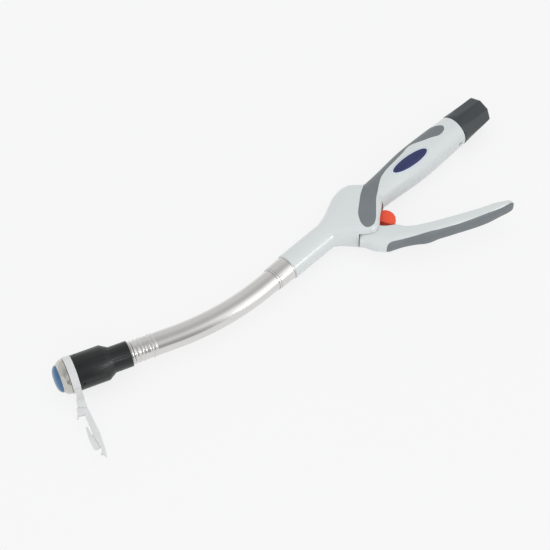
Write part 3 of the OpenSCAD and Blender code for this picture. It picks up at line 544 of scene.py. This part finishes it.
def bodyStations():
    r = body["edgeRound"]
    turns = [math.radians(a) for a in (90, 70, 50, 32, 15)]
    front = [(body["noseX"] + r - r * math.sin(a), r - r * math.cos(a)) for a in turns]
    back = [(body["rearX"] - r + r * math.sin(a), r - r * math.cos(a)) for a in reversed(turns)]
    middle = spread(body["noseX"] + r, body["bulbX"], body["noseStep"])
    middle += spread(body["bulbX"], body["waistX"], body["bulbStep"])
    middle += spread(body["waistX"], body["rearX"] - r, body["gripStep"]) + [body["rearX"] - r]
    return front + [(x, 0) for x in middle] + back


def bodyHalf(grow=0):
    turns = [math.pi * j / body["sides"] for j in range(body["sides"] + 1)]
    rings = [[bodyPoint(x, t, shrink - grow) for t in turns] for x, shrink in bodyStations()]
    return lofted("bodyHalf", rings)


inlayShares = [
    (-0.017, 0.95), (-0.03, 0.55), (-0.14, 0.12), (-0.222, -0.275), (-0.29, -0.62), (-0.324, -0.9),
    (-0.346, -1.2), (-0.342, -1.47), (-0.318, -1.62), (-0.28, -1.66), (-0.244, -1.57), (-0.199, -1.36),
    (-0.082, -0.66), (-0.004, -0.3), (0.1, 0.13), (0.178, 0.31), (0.247, 0.39), (0.331, 0.44), (0.44, 0.52),
    (0.504, 0.62), (0.558, 0.57), (0.636, 0.29), (0.724, 0.06), (0.775, -0.09), (0.824, -0.1), (0.866, 0),
    (0.886, 0.18), (0.879, 0.37), (0.859, 0.55), (0.83, 0.8), (0.82, 1.1), (0.6, 1.25), (0.2, 1.25), (0.03, 1.05),
]
inlay = {"floorR": 12.9, "floorZ": 12.2, "seam": 0.14, "sink": 0.15, "proud": 0.06}
gripLong = body["rearX"] - body["waistX"]
inlayLoop = smoothLoop([(body["waistX"] + a * gripLong, b * body["swellR"]) for a, b in inlayShares])


def inlaySpace(shrink, seam):
    tool = prism(shrinkLoop(inlayLoop, seam), -overrun, body["halfThick"] + body["wall"])
    carve(tool, rod(body["noseX"], body["rearX"], inlay["floorR"] + shrink))
    floor = block(
        (body["bulbX"], -body["belly"], -2 * overrun),
        (body["waistX"] + body["wall"], body["wall"], inlay["floorZ"] + shrink),
    )
    carve(tool, floor)
    return tool


pivot = {"x": 88, "y": -26, "pinR": 2.5, "pinPlay": 0.05, "bayHalf": 8.8, "seat": 1.5}
latch = {"x": 106.5, "y": -17, "pinR": 1.5, "room": 9}
bayShares = [
    (-0.44, 0.66), (-0.44, 0.42), (-0.32, 0.21), (-0.395, 0.105), (-0.445, 0.05), (-0.49, 0), (-0.485, -0.13),
    (-0.46, -0.25), (-0.46, -0.8), (1.6, -0.8), (1.22, 0.3), (1.12, 0.56), (0.96, 0.66), (0.7, 0.69),
]
bayOutline = [(pivot["x"] + a * -pivot["y"], pivot["y"] + b * -pivot["y"]) for a, b in bayShares]
screw = {"holeR": 1.35, "headR": 2.65, "headFrom": 6, "inlayR": 2.8}
screwSpots = [(92, 16), (108, 15.5), (140, -8.6), (196, -8.6)]
# hollows along the handle axis: (from, to, radius)
hollows = {
    "stem": (16.5, 34.5, 9.05), "bore": (17.5, 171, 7.4), "spring": (64, 78.6, 9.6), "bulb": (77.6, 116, 11.6),
    "grip": (119, 168, 11), "rear": (171, 204, 11), "nut": (203.9, 223, 8.64), "flange": (205, 210, 11.25),
}
label = {
    "x": 162, "y": -2.7, "long": 38, "wide": 9.8, "turn": -5, "edge": 1, "gap": 0.15, "deep": 0.35, "show": 0.12,
    "bevel": 0.06, "side": 0.05, "rings": 20, "cutFrom": 9, "cutTo": 18,
}
slot = {"back": 4.6, "long": 4.2, "high": 2.3, "deep": 5}


def ovalLoop(grow, share=1, points=96):
    made = []
    lean = math.radians(label["turn"])
    for i in range(points):
        a = 2 * math.pi * i / points
        along = (label["long"] / 2 + grow) * share * math.cos(a)
        across = (label["wide"] / 2 + grow) * share * math.sin(a)
        made.append((
            label["x"] + along * math.cos(lean) - across * math.sin(lean),
            label["y"] + along * math.sin(lean) + across * math.cos(lean),
        ))
    return made


def hollowOut(piece):
    for start, end, radius in hollows.values():
        carve(piece, rod(start, end, radius))
    carve(piece, prism(bayOutline, -pivot["bayHalf"], pivot["bayHalf"]))
    carve(piece, post(latch["x"], latch["y"], -pivot["bayHalf"], pivot["bayHalf"], latch["room"]))
    deep = pivot["bayHalf"] + pivot["seat"]
    for pin in (pivot, latch):
        carve(piece, post(pin["x"], pin["y"], -deep, deep, pin["pinR"] + pivot["pinPlay"]))


mirrorDown = Matrix.Scale(-1, 4, (0, 0, 1))


def bodyShell(upper):
    piece = bodyHalf()
    hollowOut(piece)
    carve(piece, inlaySpace(0, 0))
    if upper:
        recess = prism(ovalLoop(label["edge"] + label["gap"]), label["cutFrom"], label["cutTo"])
        floor = bodyHalf()
        settle(floor, Matrix.Translation((0, 0, -label["deep"] * mm)))
        carve(recess, floor)
        carve(piece, recess)
        slotEnd = body["rearX"] - slot["back"]
        carve(piece, block(
            (slotEnd - slot["long"], -body["rearR"] - slot["deep"], -overrun),
            (slotEnd, -body["rearR"] + slot["deep"], slot["high"]),
        ))
    else:
        for x, y in screwSpots:
            carve(piece, post(x, y, -overrun, body["halfThick"] + overrun, screw["holeR"]))
            carve(piece, post(x, y, screw["headFrom"], body["halfThick"] + overrun, screw["headR"]))
        settle(piece, mirrorDown)
    cleanMesh(piece, fineWeld)
    settle(piece, handlePlace)
    return piece


finish(bodyShell(True), "upperShell", "handle", [absGrey], ["upper_shell"], 28)
finish(bodyShell(False), "lowerShell", "handle", [absGrey], ["lower_shell"], 28)
print("stage: shells lofted and hollowed")


def gripInlay(upper):
    piece = bodyHalf(inlay["proud"])
    carve(piece, inlaySpace(inlay["sink"], inlay["seam"]), "INTERSECT")
    if not upper:
        for x, y in screwSpots:
            carve(piece, post(x, y, -overrun, body["halfThick"] + overrun, screw["inlayR"]))
        settle(piece, mirrorDown)
    cleanMesh(piece, fineWeld)
    settle(piece, handlePlace)
    return piece


finish(gripInlay(True), "upperInlay", "handle", [softGrey], ["upper_inlay"], 28)
finish(gripInlay(False), "lowerInlay", "handle", [softGrey], ["lower_inlay"], 28)
print("stage: inlays made")


# Bare oval label: navy field with a pale edge, on the shallow recess of the grip
def labelFilm():
    # rings run up the film's side, over the pale edge to the ink, and in to the middle
    edge, top, count = label["edge"], label["deep"] - label["show"], label["rings"]
    outer = [(edge, label["deep"]), (edge, top + label["side"]), (edge - label["bevel"], top), (0, top)]
    loops = [(ovalLoop(grow), sink) for grow, sink in outer]
    loops += [(ovalLoop(0, s / count), top) for s in range(count - 1, 0, -1)]
    piece = lofted("labelFilm", [[(x, y, bodyHigh(x, y) - sink) for x, y in loop] for loop, sink in loops])
    piece.data.materials.append(labelNavy)
    piece.data.materials.append(labelEdge)
    lean = math.radians(label["turn"])
    for face in piece.data.polygons:
        x, y = face.center.x / mm - label["x"], face.center.y / mm - label["y"]
        along, across = x * math.cos(lean) + y * math.sin(lean), y * math.cos(lean) - x * math.sin(lean)
        inked = (2 * along / label["long"]) ** 2 + (2 * across / label["wide"]) ** 2 < 1
        face.material_index = 0 if inked else 1
    settle(piece, handlePlace)
    return piece


finish(labelFilm(), "labelPlate", "handle", [labelNavy], ["label_plate"])


# Bent tube: one skin swept along the handle axis, round the bend and into the neck
tube = {
    "radius": 9.25, "wall": 0.8, "start": 13.5, "neckEnd": -36.9,
    "sides": 96, "step": 2, "beadStep": 0.16, "beadLong": 25, "innerEvery": 3,
}
headLong = 44.9   # from the face of the head to the end of the housing's neck
# each bead is (distance behind the housing, height, half width)
tubeBeads = [
    (1.2, 0.25, 0.7), (3, 0.62, 0.8), (6.4, 0.62, 0.8), (9.8, 0.62, 0.8), (12.4, 0.18, 0.7),
    (18, 0.72, 1.0), (20.6, 0.42, 0.6), (16.4, -0.22, 0.7), (22.2, -0.15, 0.6), (4.7, -0.2, 0.8), (8.1, -0.2, 0.8),
]
bendLong = layout["bendRadius"] * bendTurn
pathLong = tube["start"] - layout["bendStart"] + bendLong + layout["headReach"] + tube["neckEnd"]
neckAt = pathLong - (tube["neckEnd"] + headLong)   # where the housing's neck ends, along the path


def tubePlace(s):
    # centre and side direction of the section at s along the tube
    straight = tube["start"] - layout["bendStart"]
    if s <= straight:
        return Vector((tube["start"] - s, 0, 0)), Vector((0, 1, 0))
    angle = min(bendTurn, (s - straight) / layout["bendRadius"])
    centre = Vector((
        layout["bendStart"] - layout["bendRadius"] * math.sin(angle),
        layout["bendRadius"] * (1 - math.cos(angle)), 0,
    ))
    side = Vector((math.sin(angle), math.cos(angle), 0))
    past = max(0, s - straight - bendLong)
    return centre + past * Vector((-math.cos(angle), math.sin(angle), 0)), side


def tubeRadius(s):
    behind = neckAt - s
    lift = sum(
        high * (0.5 + 0.5 * math.cos(math.pi * (behind - at) / half))
        for at, high, half in tubeBeads if abs(behind - at) < half
    )
    return tube["radius"] + lift


def alongTube(x, y):
    # distance along the tube and sideways from its middle line
    straight = tube["start"] - layout["bendStart"]
    if x >= layout["bendStart"]:
        return tube["start"] - x, y
    away = Vector((layout["bendStart"] - x, layout["bendRadius"] - y))
    angle = math.atan2(away.x, away.y)
    if angle <= bendTurn:
        return straight + layout["bendRadius"] * angle, layout["bendRadius"] - away.length
    past = Vector((x, y)) - bendEnd
    along = past.dot(Vector((-math.cos(bendTurn), math.sin(bendTurn))))
    return straight + bendLong + along, past.dot(Vector((math.sin(bendTurn), math.cos(bendTurn))))


def tubeSkin():
    # out along the skin, and back along the bore with fewer rings
    beadZone = neckAt - tube["beadLong"]
    stations = spread(0, beadZone, tube["step"]) + spread(beadZone, neckAt, tube["beadStep"])
    stations += spread(neckAt, pathLong, tube["step"]) + [pathLong]
    inner = stations[::tube["innerEvery"]]
    if inner[-1] != pathLong:
        inner.append(pathLong)
    path = [(s, tubeRadius(s)) for s in stations]
    path += [(s, tube["radius"] - tube["wall"]) for s in reversed(inner)]
    turns = [2 * math.pi * j / tube["sides"] for j in range(tube["sides"])]
    rings = []
    for s, radius in path:
        centre, side = tubePlace(s)
        rings.append([centre + radius * (math.cos(a) * side + math.sin(a) * Vector((0, 0, 1))) for a in turns])
    piece = lofted("outerTube", rings, wrap=True)
    layer = piece.data.uv_layers.new(name="alongAround")
    settle(piece, handlePlace)
    for face in piece.data.polygons:
        for loop in face.loop_indices:
            point = piece.data.vertices[piece.data.loops[loop].vertex_index].co / mm
            s, off = alongTube(point.x + layout["restBack"], point.y)
            around = math.atan2(point.z - layout["axisHigh"], off)
            layer.data[loop].uv = (s * mm, abs(around) * tube["radius"] * mm)
    return piece


finish(tubeSkin(), "outerTube", "handle", [brushedTube], ["outer_tube"], 40)
print("stage: tube swept")

# Collar, head and anvil
def softened(node, name, rides, material, wide, sharpest=35, steps=2, smooth=25):
    finish(softCopy(node, wide, sharpest, steps), name, rides, [material], [node], smooth)


softened("tube_collar", "tubeCollar", "handle", turnedAluminium, 0.12)
softened("head_housing", "headHousing", "handle", blackNylon, 0.15)
softened("anvil_head", "anvilHead", "anvil", polishedSteel, 0.1, 45)
softened("anvil_cap", "anvilCap", "anvil", capBlue, 0.1, 45)
softened("spacer_ring", "spacerRing", "spacer", spacerWhite, 0.3, 40, smooth=30)
softened("safety_latch", "safetyLatch", "latch", latchRed, 0.8, 40, 4, smooth=30)
print("stage: head, anvil, spacer and latch softened")


# Lever: a channel lofted along its own line, with the soft finger grip on its outer face
lever = {
    "long": 126, "deep": 14, "half": 8.2, "wall": 1.9, "slope": 30, "swing": 28, "seam": 0.12,
    "topFull": 9, "lowFull": 2.4, "channelRound": 2.5, "sides": 96,
}
finger = {"reach": 16.5, "tip": 2.4, "half": 1.8, "rootHalf": 3, "rootWall": 2, "taper": 3, "thick": 4}
leverTop = [
    (-0.083, -0.45), (-0.06, 0.33), (0, 0.62), (0.05, 0.5), (0.085, 0.25), (0.12, 0.16), (0.16, 0.13),
    (0.19, 0.07), (0.22, -0.1), (0.26, -0.22), (0.32, -0.27), (0.36, -0.27), (0.54, -0.2), (0.75, -0.05),
    (0.89, 0.1), (0.965, 0.1), (0.994, 0),
]
leverLow = [
    (-0.083, -0.48), (-0.07, -0.5), (-0.05, -0.56), (-0.02, -0.79), (0.01, -1), (0.04, -1.1), (0.07, -1.19),
    (0.1, -1.235), (0.13, -1.2), (0.2, -1.12), (0.25, -1.1), (0.3, -1.13), (0.35, -1.2), (0.375, -1.2),
    (0.41, -1.14), (0.45, -1.06), (0.5, -1.02), (0.6, -0.925), (0.7, -0.84), (0.8, -0.695), (0.85, -0.57),
    (0.9, -0.42), (0.94, -0.32), (0.97, -0.235), (0.994, -0.15),
]
leverWide = [
    (-0.083, 0.55), (-0.05, 0.94), (0, 1), (0.5, 1), (0.8, 0.97), (0.95, 0.88), (0.985, 0.7), (0.994, 0.5),
]
gripEdge = [
    (0.06, -2), (0.066, -1.5), (0.075, -1.2), (0.095, -1.07), (0.13, -1.01), (0.225, -0.98), (0.343, -0.96),
    (0.47, -0.89), (0.6, -0.79), (0.73, -0.63), (0.868, -0.4), (0.94, -0.22), (0.985, -0.1), (1.05, -0.08),
]
channelShares = [
    (0.1, 1), (0.1, -0.5), (0.13, -0.78), (0.2, -0.84), (0.34, -0.82), (0.5, -0.74), (0.66, -0.62), (0.8, -0.42),
    (0.9, -0.2), (0.92, -0.05), (0.92, 1),
]
leverPlace = handlePlace @ Matrix.Translation((pivot["x"] * mm, pivot["y"] * mm, 0))
leverTilt = Matrix.Rotation(math.radians(-lever["slope"]), 4, "Z")


def sized(shares):
    return [(a * lever["long"], b * lever["deep"]) for a, b in shares]


def leverForm():
    top, low = sized(leverTop), sized(leverLow)
    wide = [(a * lever["long"], b * lever["half"]) for a, b in leverWide]
    first, last = top[0][0], top[-1][0]
    noseEnd, tipStart, fine, coarse = first + 6, last - 5, 0.35, 1.1
    stations = spread(first, noseEnd, fine) + spread(noseEnd, tipStart, coarse) + spread(tipStart, last, fine)
    stations.append(last)
    turns = [2 * math.pi * (j + 0.5) / lever["sides"] for j in range(lever["sides"])]
    rings = []
    for u in stations:
        high, deep = smoothHeight(top, u), smoothHeight(low, u)
        ring = []
        for t in turns:
            n = lever["topFull"] if math.cos(t) > 0 else lever["lowFull"]
            ring.append((
                u, (high + deep) / 2 + (high - deep) / 2 * power(math.cos(t), n),
                smoothHeight(wide, u) * power(math.sin(t), n),
            ))
        rings.append(ring)
    return lofted("leverForm", rings)


def gripZone(seam):
    edge = smoothOpen(sized(gripEdge))
    outline = [(x, y - seam) for x, y in edge] + [(1.05 * lever["long"], -2.2 * lever["deep"])]
    return prism(outline, -2 * lever["half"], 2 * lever["half"])


def leverBar():
    piece = leverForm()
    inner = lever["half"] - lever["wall"]
    carve(piece, prism(roundCorners(sized(channelShares), lever["channelRound"]), -inner, inner))
    carve(piece, gripZone(0))
    settle(piece, leverTilt)
    # drive finger that works in the firing yoke
    root, reach, thick = pivot["pinR"] + finger["rootWall"], finger["reach"], finger["thick"]
    shoulder, half, wide = reach - finger["taper"], finger["half"], finger["rootHalf"]
    arm = prism(
        [(root, -wide), (shoulder, -half), (reach, -half), (reach, half), (shoulder, half), (root, wide)],
        -thick, thick,
    )
    carve(arm, post(reach, 0, -thick, thick, finger["tip"], 32), "UNION")
    settle(arm, Matrix.Rotation(math.radians(90 - lever["swing"] / 2), 4, "Z"))
    carve(piece, arm, "UNION")
    carve(piece, post(0, 0, -2 * lever["half"], 2 * lever["half"], pivot["pinR"] + pivot["pinPlay"]))
    cleanMesh(piece, fineWeld)
    settle(piece, leverPlace)
    return piece


def leverPad():
    piece = leverForm()
    carve(piece, gripZone(lever["seam"]), "INTERSECT")
    cleanMesh(piece, fineWeld)
    settle(piece, leverPlace @ leverTilt)
    return piece


finish(leverBar(), "leverBar", "lever_set", [absGrey], ["lever"], 30)
finish(leverPad(), "leverGrip", "lever_set", [softGrey], ["lever_grip"], 30)
print("stage: lever made")

# Knob: round base that runs into eight broad flats with soft ridges between them; (distance, radius)
knob = {
    "front": 222.3, "flats": 8, "flatDeep": 1.25, "ridge": 0.5,
    "boreEnd": 242.3, "boreR": 8.34, "tipFrom": 242, "tipEnd": 248.5, "tipR": 4.5, "sides": 192,
}
knobProfile = [
    (0, 13.6), (0.15, 14.0), (0.5, 14.3), (1.1, 14.4), (3, 14.4), (10, 14.3), (20, 14.05), (32, 13.7),
    (33, 13.45), (33.8, 12.8), (34.4, 11.6),
]
# rings lie closest at both ends, where the form turns most
knobStations = [0, 0.15, 0.3, 0.5, 0.8, 1.1, 1.6, 2.2, 3]
knobStations += spread(3.6, 28.4, 0.9) + spread(28.4, 34, 0.28) + [34, 34.2, 34.4]
flatDepths = [(0, 0), (2, 0.04), (8, 0.42), (20, 0.82), (34.4, 1.05)]
# the end steps in to a shallow dished disc: (share of the radius, distance along)
knobEnd = [
    (0.93, 34.4), (0.9, 34.3), (0.885, 33.9), (0.87, 33.6), (0.85, 33.5), (0.6, 33.5), (0.3, 33.5), (0.02, 33.5),
]


def knobForm():
    pitch = 2 * math.pi / knob["flats"]
    turns = [2 * math.pi * j / knob["sides"] for j in range(knob["sides"])]
    rings = []
    for u in knobStations:
        base = smoothHeight(knobProfile, u)
        deep = knob["flatDeep"] * smoothHeight(flatDepths, u)
        ring = []
        for a in turns:
            off = a % pitch - pitch / 2
            flat = (base - deep) / math.cos(off)
            h = min(1, max(0, 0.5 + 0.5 * (base - flat) / knob["ridge"]))
            r = base + (flat - base) * h - knob["ridge"] * h * (1 - h) * min(1, deep * 2)
            ring.append((knob["front"] + u, r * math.cos(a), r * math.sin(a)))
        rings.append(ring)
    last = rings[-1]
    for share, along in knobEnd:
        rings.append([(knob["front"] + along, y * share, z * share) for x, y, z in last])
    piece = lofted("knob", rings)
    carve(piece, rod(knob["front"] - overrun, knob["boreEnd"], knob["boreR"]))
    carve(piece, rod(knob["tipFrom"], knob["tipEnd"], knob["tipR"]))
    settle(piece, handlePlace)
    return piece


finish(knobForm(), "knobShell", "knob_set", [knobBlack], ["knob"], 40)
print("stage: knob made")


# Table, lights and camera
def setSurface(tree, shader):
    output = [n for n in tree.nodes if n.type == "OUTPUT_MATERIAL"][0]
    tree.links.new(shader.outputs[0], output.inputs[0])


def seenAsBackground(tree):
    # 1 for the rays that should see the plain pale background
    paths = addNode(tree, "LightPath")
    direct = addNode(tree, "Math", {
        0: paths.outputs["Is Camera Ray"], 1: paths.outputs["Is Glossy Ray"],
    }, operation="MAXIMUM")
    through = addNode(tree, "Math", {
        0: direct.outputs[0], 1: paths.outputs["Is Transmission Ray"],
    }, operation="MAXIMUM")
    return through.outputs[0]


def paleFloor():
    # a pale board: it throws light back on the object, and is seen as a plain ground with a faint shadow
    material, tree, shader = newMaterial("paintedBoardPale")
    tree.nodes.remove(shader)
    place = addNode(tree, "TexCoord").outputs["Object"]
    cloud = addNode(tree, "TexNoise", {"Vector": place, "Scale": 3, "Detail": 2})
    board = addNode(tree, "BsdfDiffuse", {"Color": twoTone(tree, cloud.outputs[0], "#eeeeee", "#ececec")})
    thin = addNode(tree, "BsdfDiffuse", {"Color": twoTone(tree, cloud.outputs[0], "#676767", "#666666")})
    glow = addNode(tree, "Emission", {"Color": toLinear("#f6f6f6"), "Strength": 0.875})
    seen = addNode(tree, "AddShader", {0: thin.outputs[0], 1: glow.outputs[0]})
    both = addNode(tree, "MixShader", {0: seenAsBackground(tree), 1: board.outputs[0], 2: seen.outputs[0]})
    setSurface(tree, both)
    return material


table = {"wide": 12, "drop": 0.0002}   # metres; the board lies a hair below the part
bpy.ops.mesh.primitive_plane_add(size=table["wide"], location=(0, 0, -table["drop"]))
floor = bpy.context.object
floor.name = "floor"
floor.data.materials.append(paleFloor())

world = bpy.data.worlds.new("studio")
bpy.context.scene.world = world
world.use_nodes = True
sky = world.node_tree
sky.nodes.clear()
roomLight = addNode(sky, "Background", {"Color": toLinear("#fbfcfd"), "Strength": 0.86})
backdrop = addNode(sky, "Background", {"Color": toLinear("#f6f6f6"), "Strength": 1})
mixed = addNode(sky, "MixShader", {0: seenAsBackground(sky), 1: roomLight.outputs[0], 2: backdrop.outputs[0]})
addNode(sky, "OutputWorld", {0: mixed.outputs[0]})

# Tent of cloth over the table, seen only in reflections: (angle from the table behind, brightness)
tent = {"radius": 2.2, "half": 5, "fadeFrom": -0.35, "fadeTo": 0.5}
tentRight = [(0, 0.76), (50, 0.75), (72, 0.62), (96, 0.58), (114, 0.85), (128, 1.25), (180, 1.2)]
tentLeft = [
    (0, 0.78), (45, 0.72), (70, 0.55), (98, 0.5), (115, 0.72), (132, 0.8), (146, 0.55), (158, 0.4), (172, 0.4),
    (180, 0.5),
]


def brightRamp(tree, factor, stops):
    ramp = addNode(tree, "ValToRGB", {"Fac": factor})
    marks = ramp.color_ramp.elements
    while len(marks) < len(stops):
        marks.new(0.5)
    brightest = max(level for angle, level in stops)
    for mark, (angle, level) in zip(marks, stops):
        mark.position = angle / 180
        mark.color = [level / brightest] * 3 + [1]
    return addNode(tree, "Emission", {"Color": ramp.outputs[0], "Strength": brightest}).outputs[0]


def tentCloth():
    material, tree, shader = newMaterial("tentCloth")
    tree.nodes.remove(shader)
    place = addNode(tree, "SeparateXYZ", {0: addNode(tree, "TexCoord").outputs["Object"]})
    turn = addNode(tree, "Math", {0: place.outputs["Z"], 1: place.outputs["Y"]}, operation="ARCTAN2")
    share = addNode(tree, "Math", {0: turn.outputs[0], 1: math.pi}, operation="DIVIDE")
    along = addNode(tree, "MapRange", {
        "Value": place.outputs["X"], 1: tent["fadeFrom"], 2: tent["fadeTo"], 3: 0.0, 4: 1.0,
    }, interpolation_type="SMOOTHSTEP")
    cloth = addNode(tree, "MixShader", {
        0: along.outputs[0], 1: brightRamp(tree, share.outputs[0], tentLeft),
        2: brightRamp(tree, share.outputs[0], tentRight),
    })
    setSurface(tree, cloth)
    return material


bpy.ops.mesh.primitive_cylinder_add(
    vertices=96, radius=tent["radius"], depth=2 * tent["half"], end_fill_type="NOTHING",
    rotation=(0, math.pi / 2, 0),
)
tentArch = bpy.context.object
settle(tentArch, Matrix.Identity(4))
below = 2 * tent["half"] / mm
carve(tentArch, block((-below, -below, -below), (below, below, 0)))
tentArch.name = "tentArch"
tentArch.data.materials.append(tentCloth())
tentArch.visible_camera = False
tentArch.visible_diffuse = False
tentArch.visible_shadow = False
tentArch.visible_transmission = False


def softLight(name, place, aim, size, power):
    data = bpy.data.lights.new(name, "AREA")
    data.shape = "RECTANGLE"
    data.size, data.size_y = size
    data.energy = power
    lamp = bpy.data.objects.new(name, data)
    bpy.context.collection.objects.link(lamp)
    lamp.location = place
    lamp.rotation_mode = "QUATERNION"
    lamp.rotation_quaternion = (Vector(aim) - lamp.location).to_track_quat("-Z", "Y")
    return lamp


overhead = softLight("overhead", (-0.3, 0.3, 1.7), (-0.05, 0, 0), (1.6, 1.6), 3)
overhead.visible_glossy = False
noseStrip = softLight("noseStrip", (0.07, -0.41, 0.2), (-0.06, 0, 0.02), (0.2, 0.042), 0.55)
noseStrip.visible_diffuse = False
frontFill = softLight("frontFill", (-0.5, -1.1, 0.35), (0, 0, 0), (1.6, 0.7), 2.5)
frontFill.visible_glossy = False

# Camera, as recovered from the photograph
view = {"at": (-0.6212, -0.5249, 1.0811), "forward": (0.4061, 0.4050, -0.8192), "lens": 104.7}
cameraData = bpy.data.cameras.new("camera")
cameraData.lens = view["lens"]
cameraData.sensor_width = 36
cameraData.clip_start = 0.05
camera = bpy.data.objects.new("camera", cameraData)
bpy.context.collection.objects.link(camera)
camera.location = view["at"]
camera.rotation_mode = "QUATERNION"
camera.rotation_quaternion = Vector(view["forward"]).to_track_quat("-Z", "Y")
scene = bpy.context.scene
scene.camera = camera
scene.view_settings.view_transform = "Standard"
print("stage: table, lights and camera set")
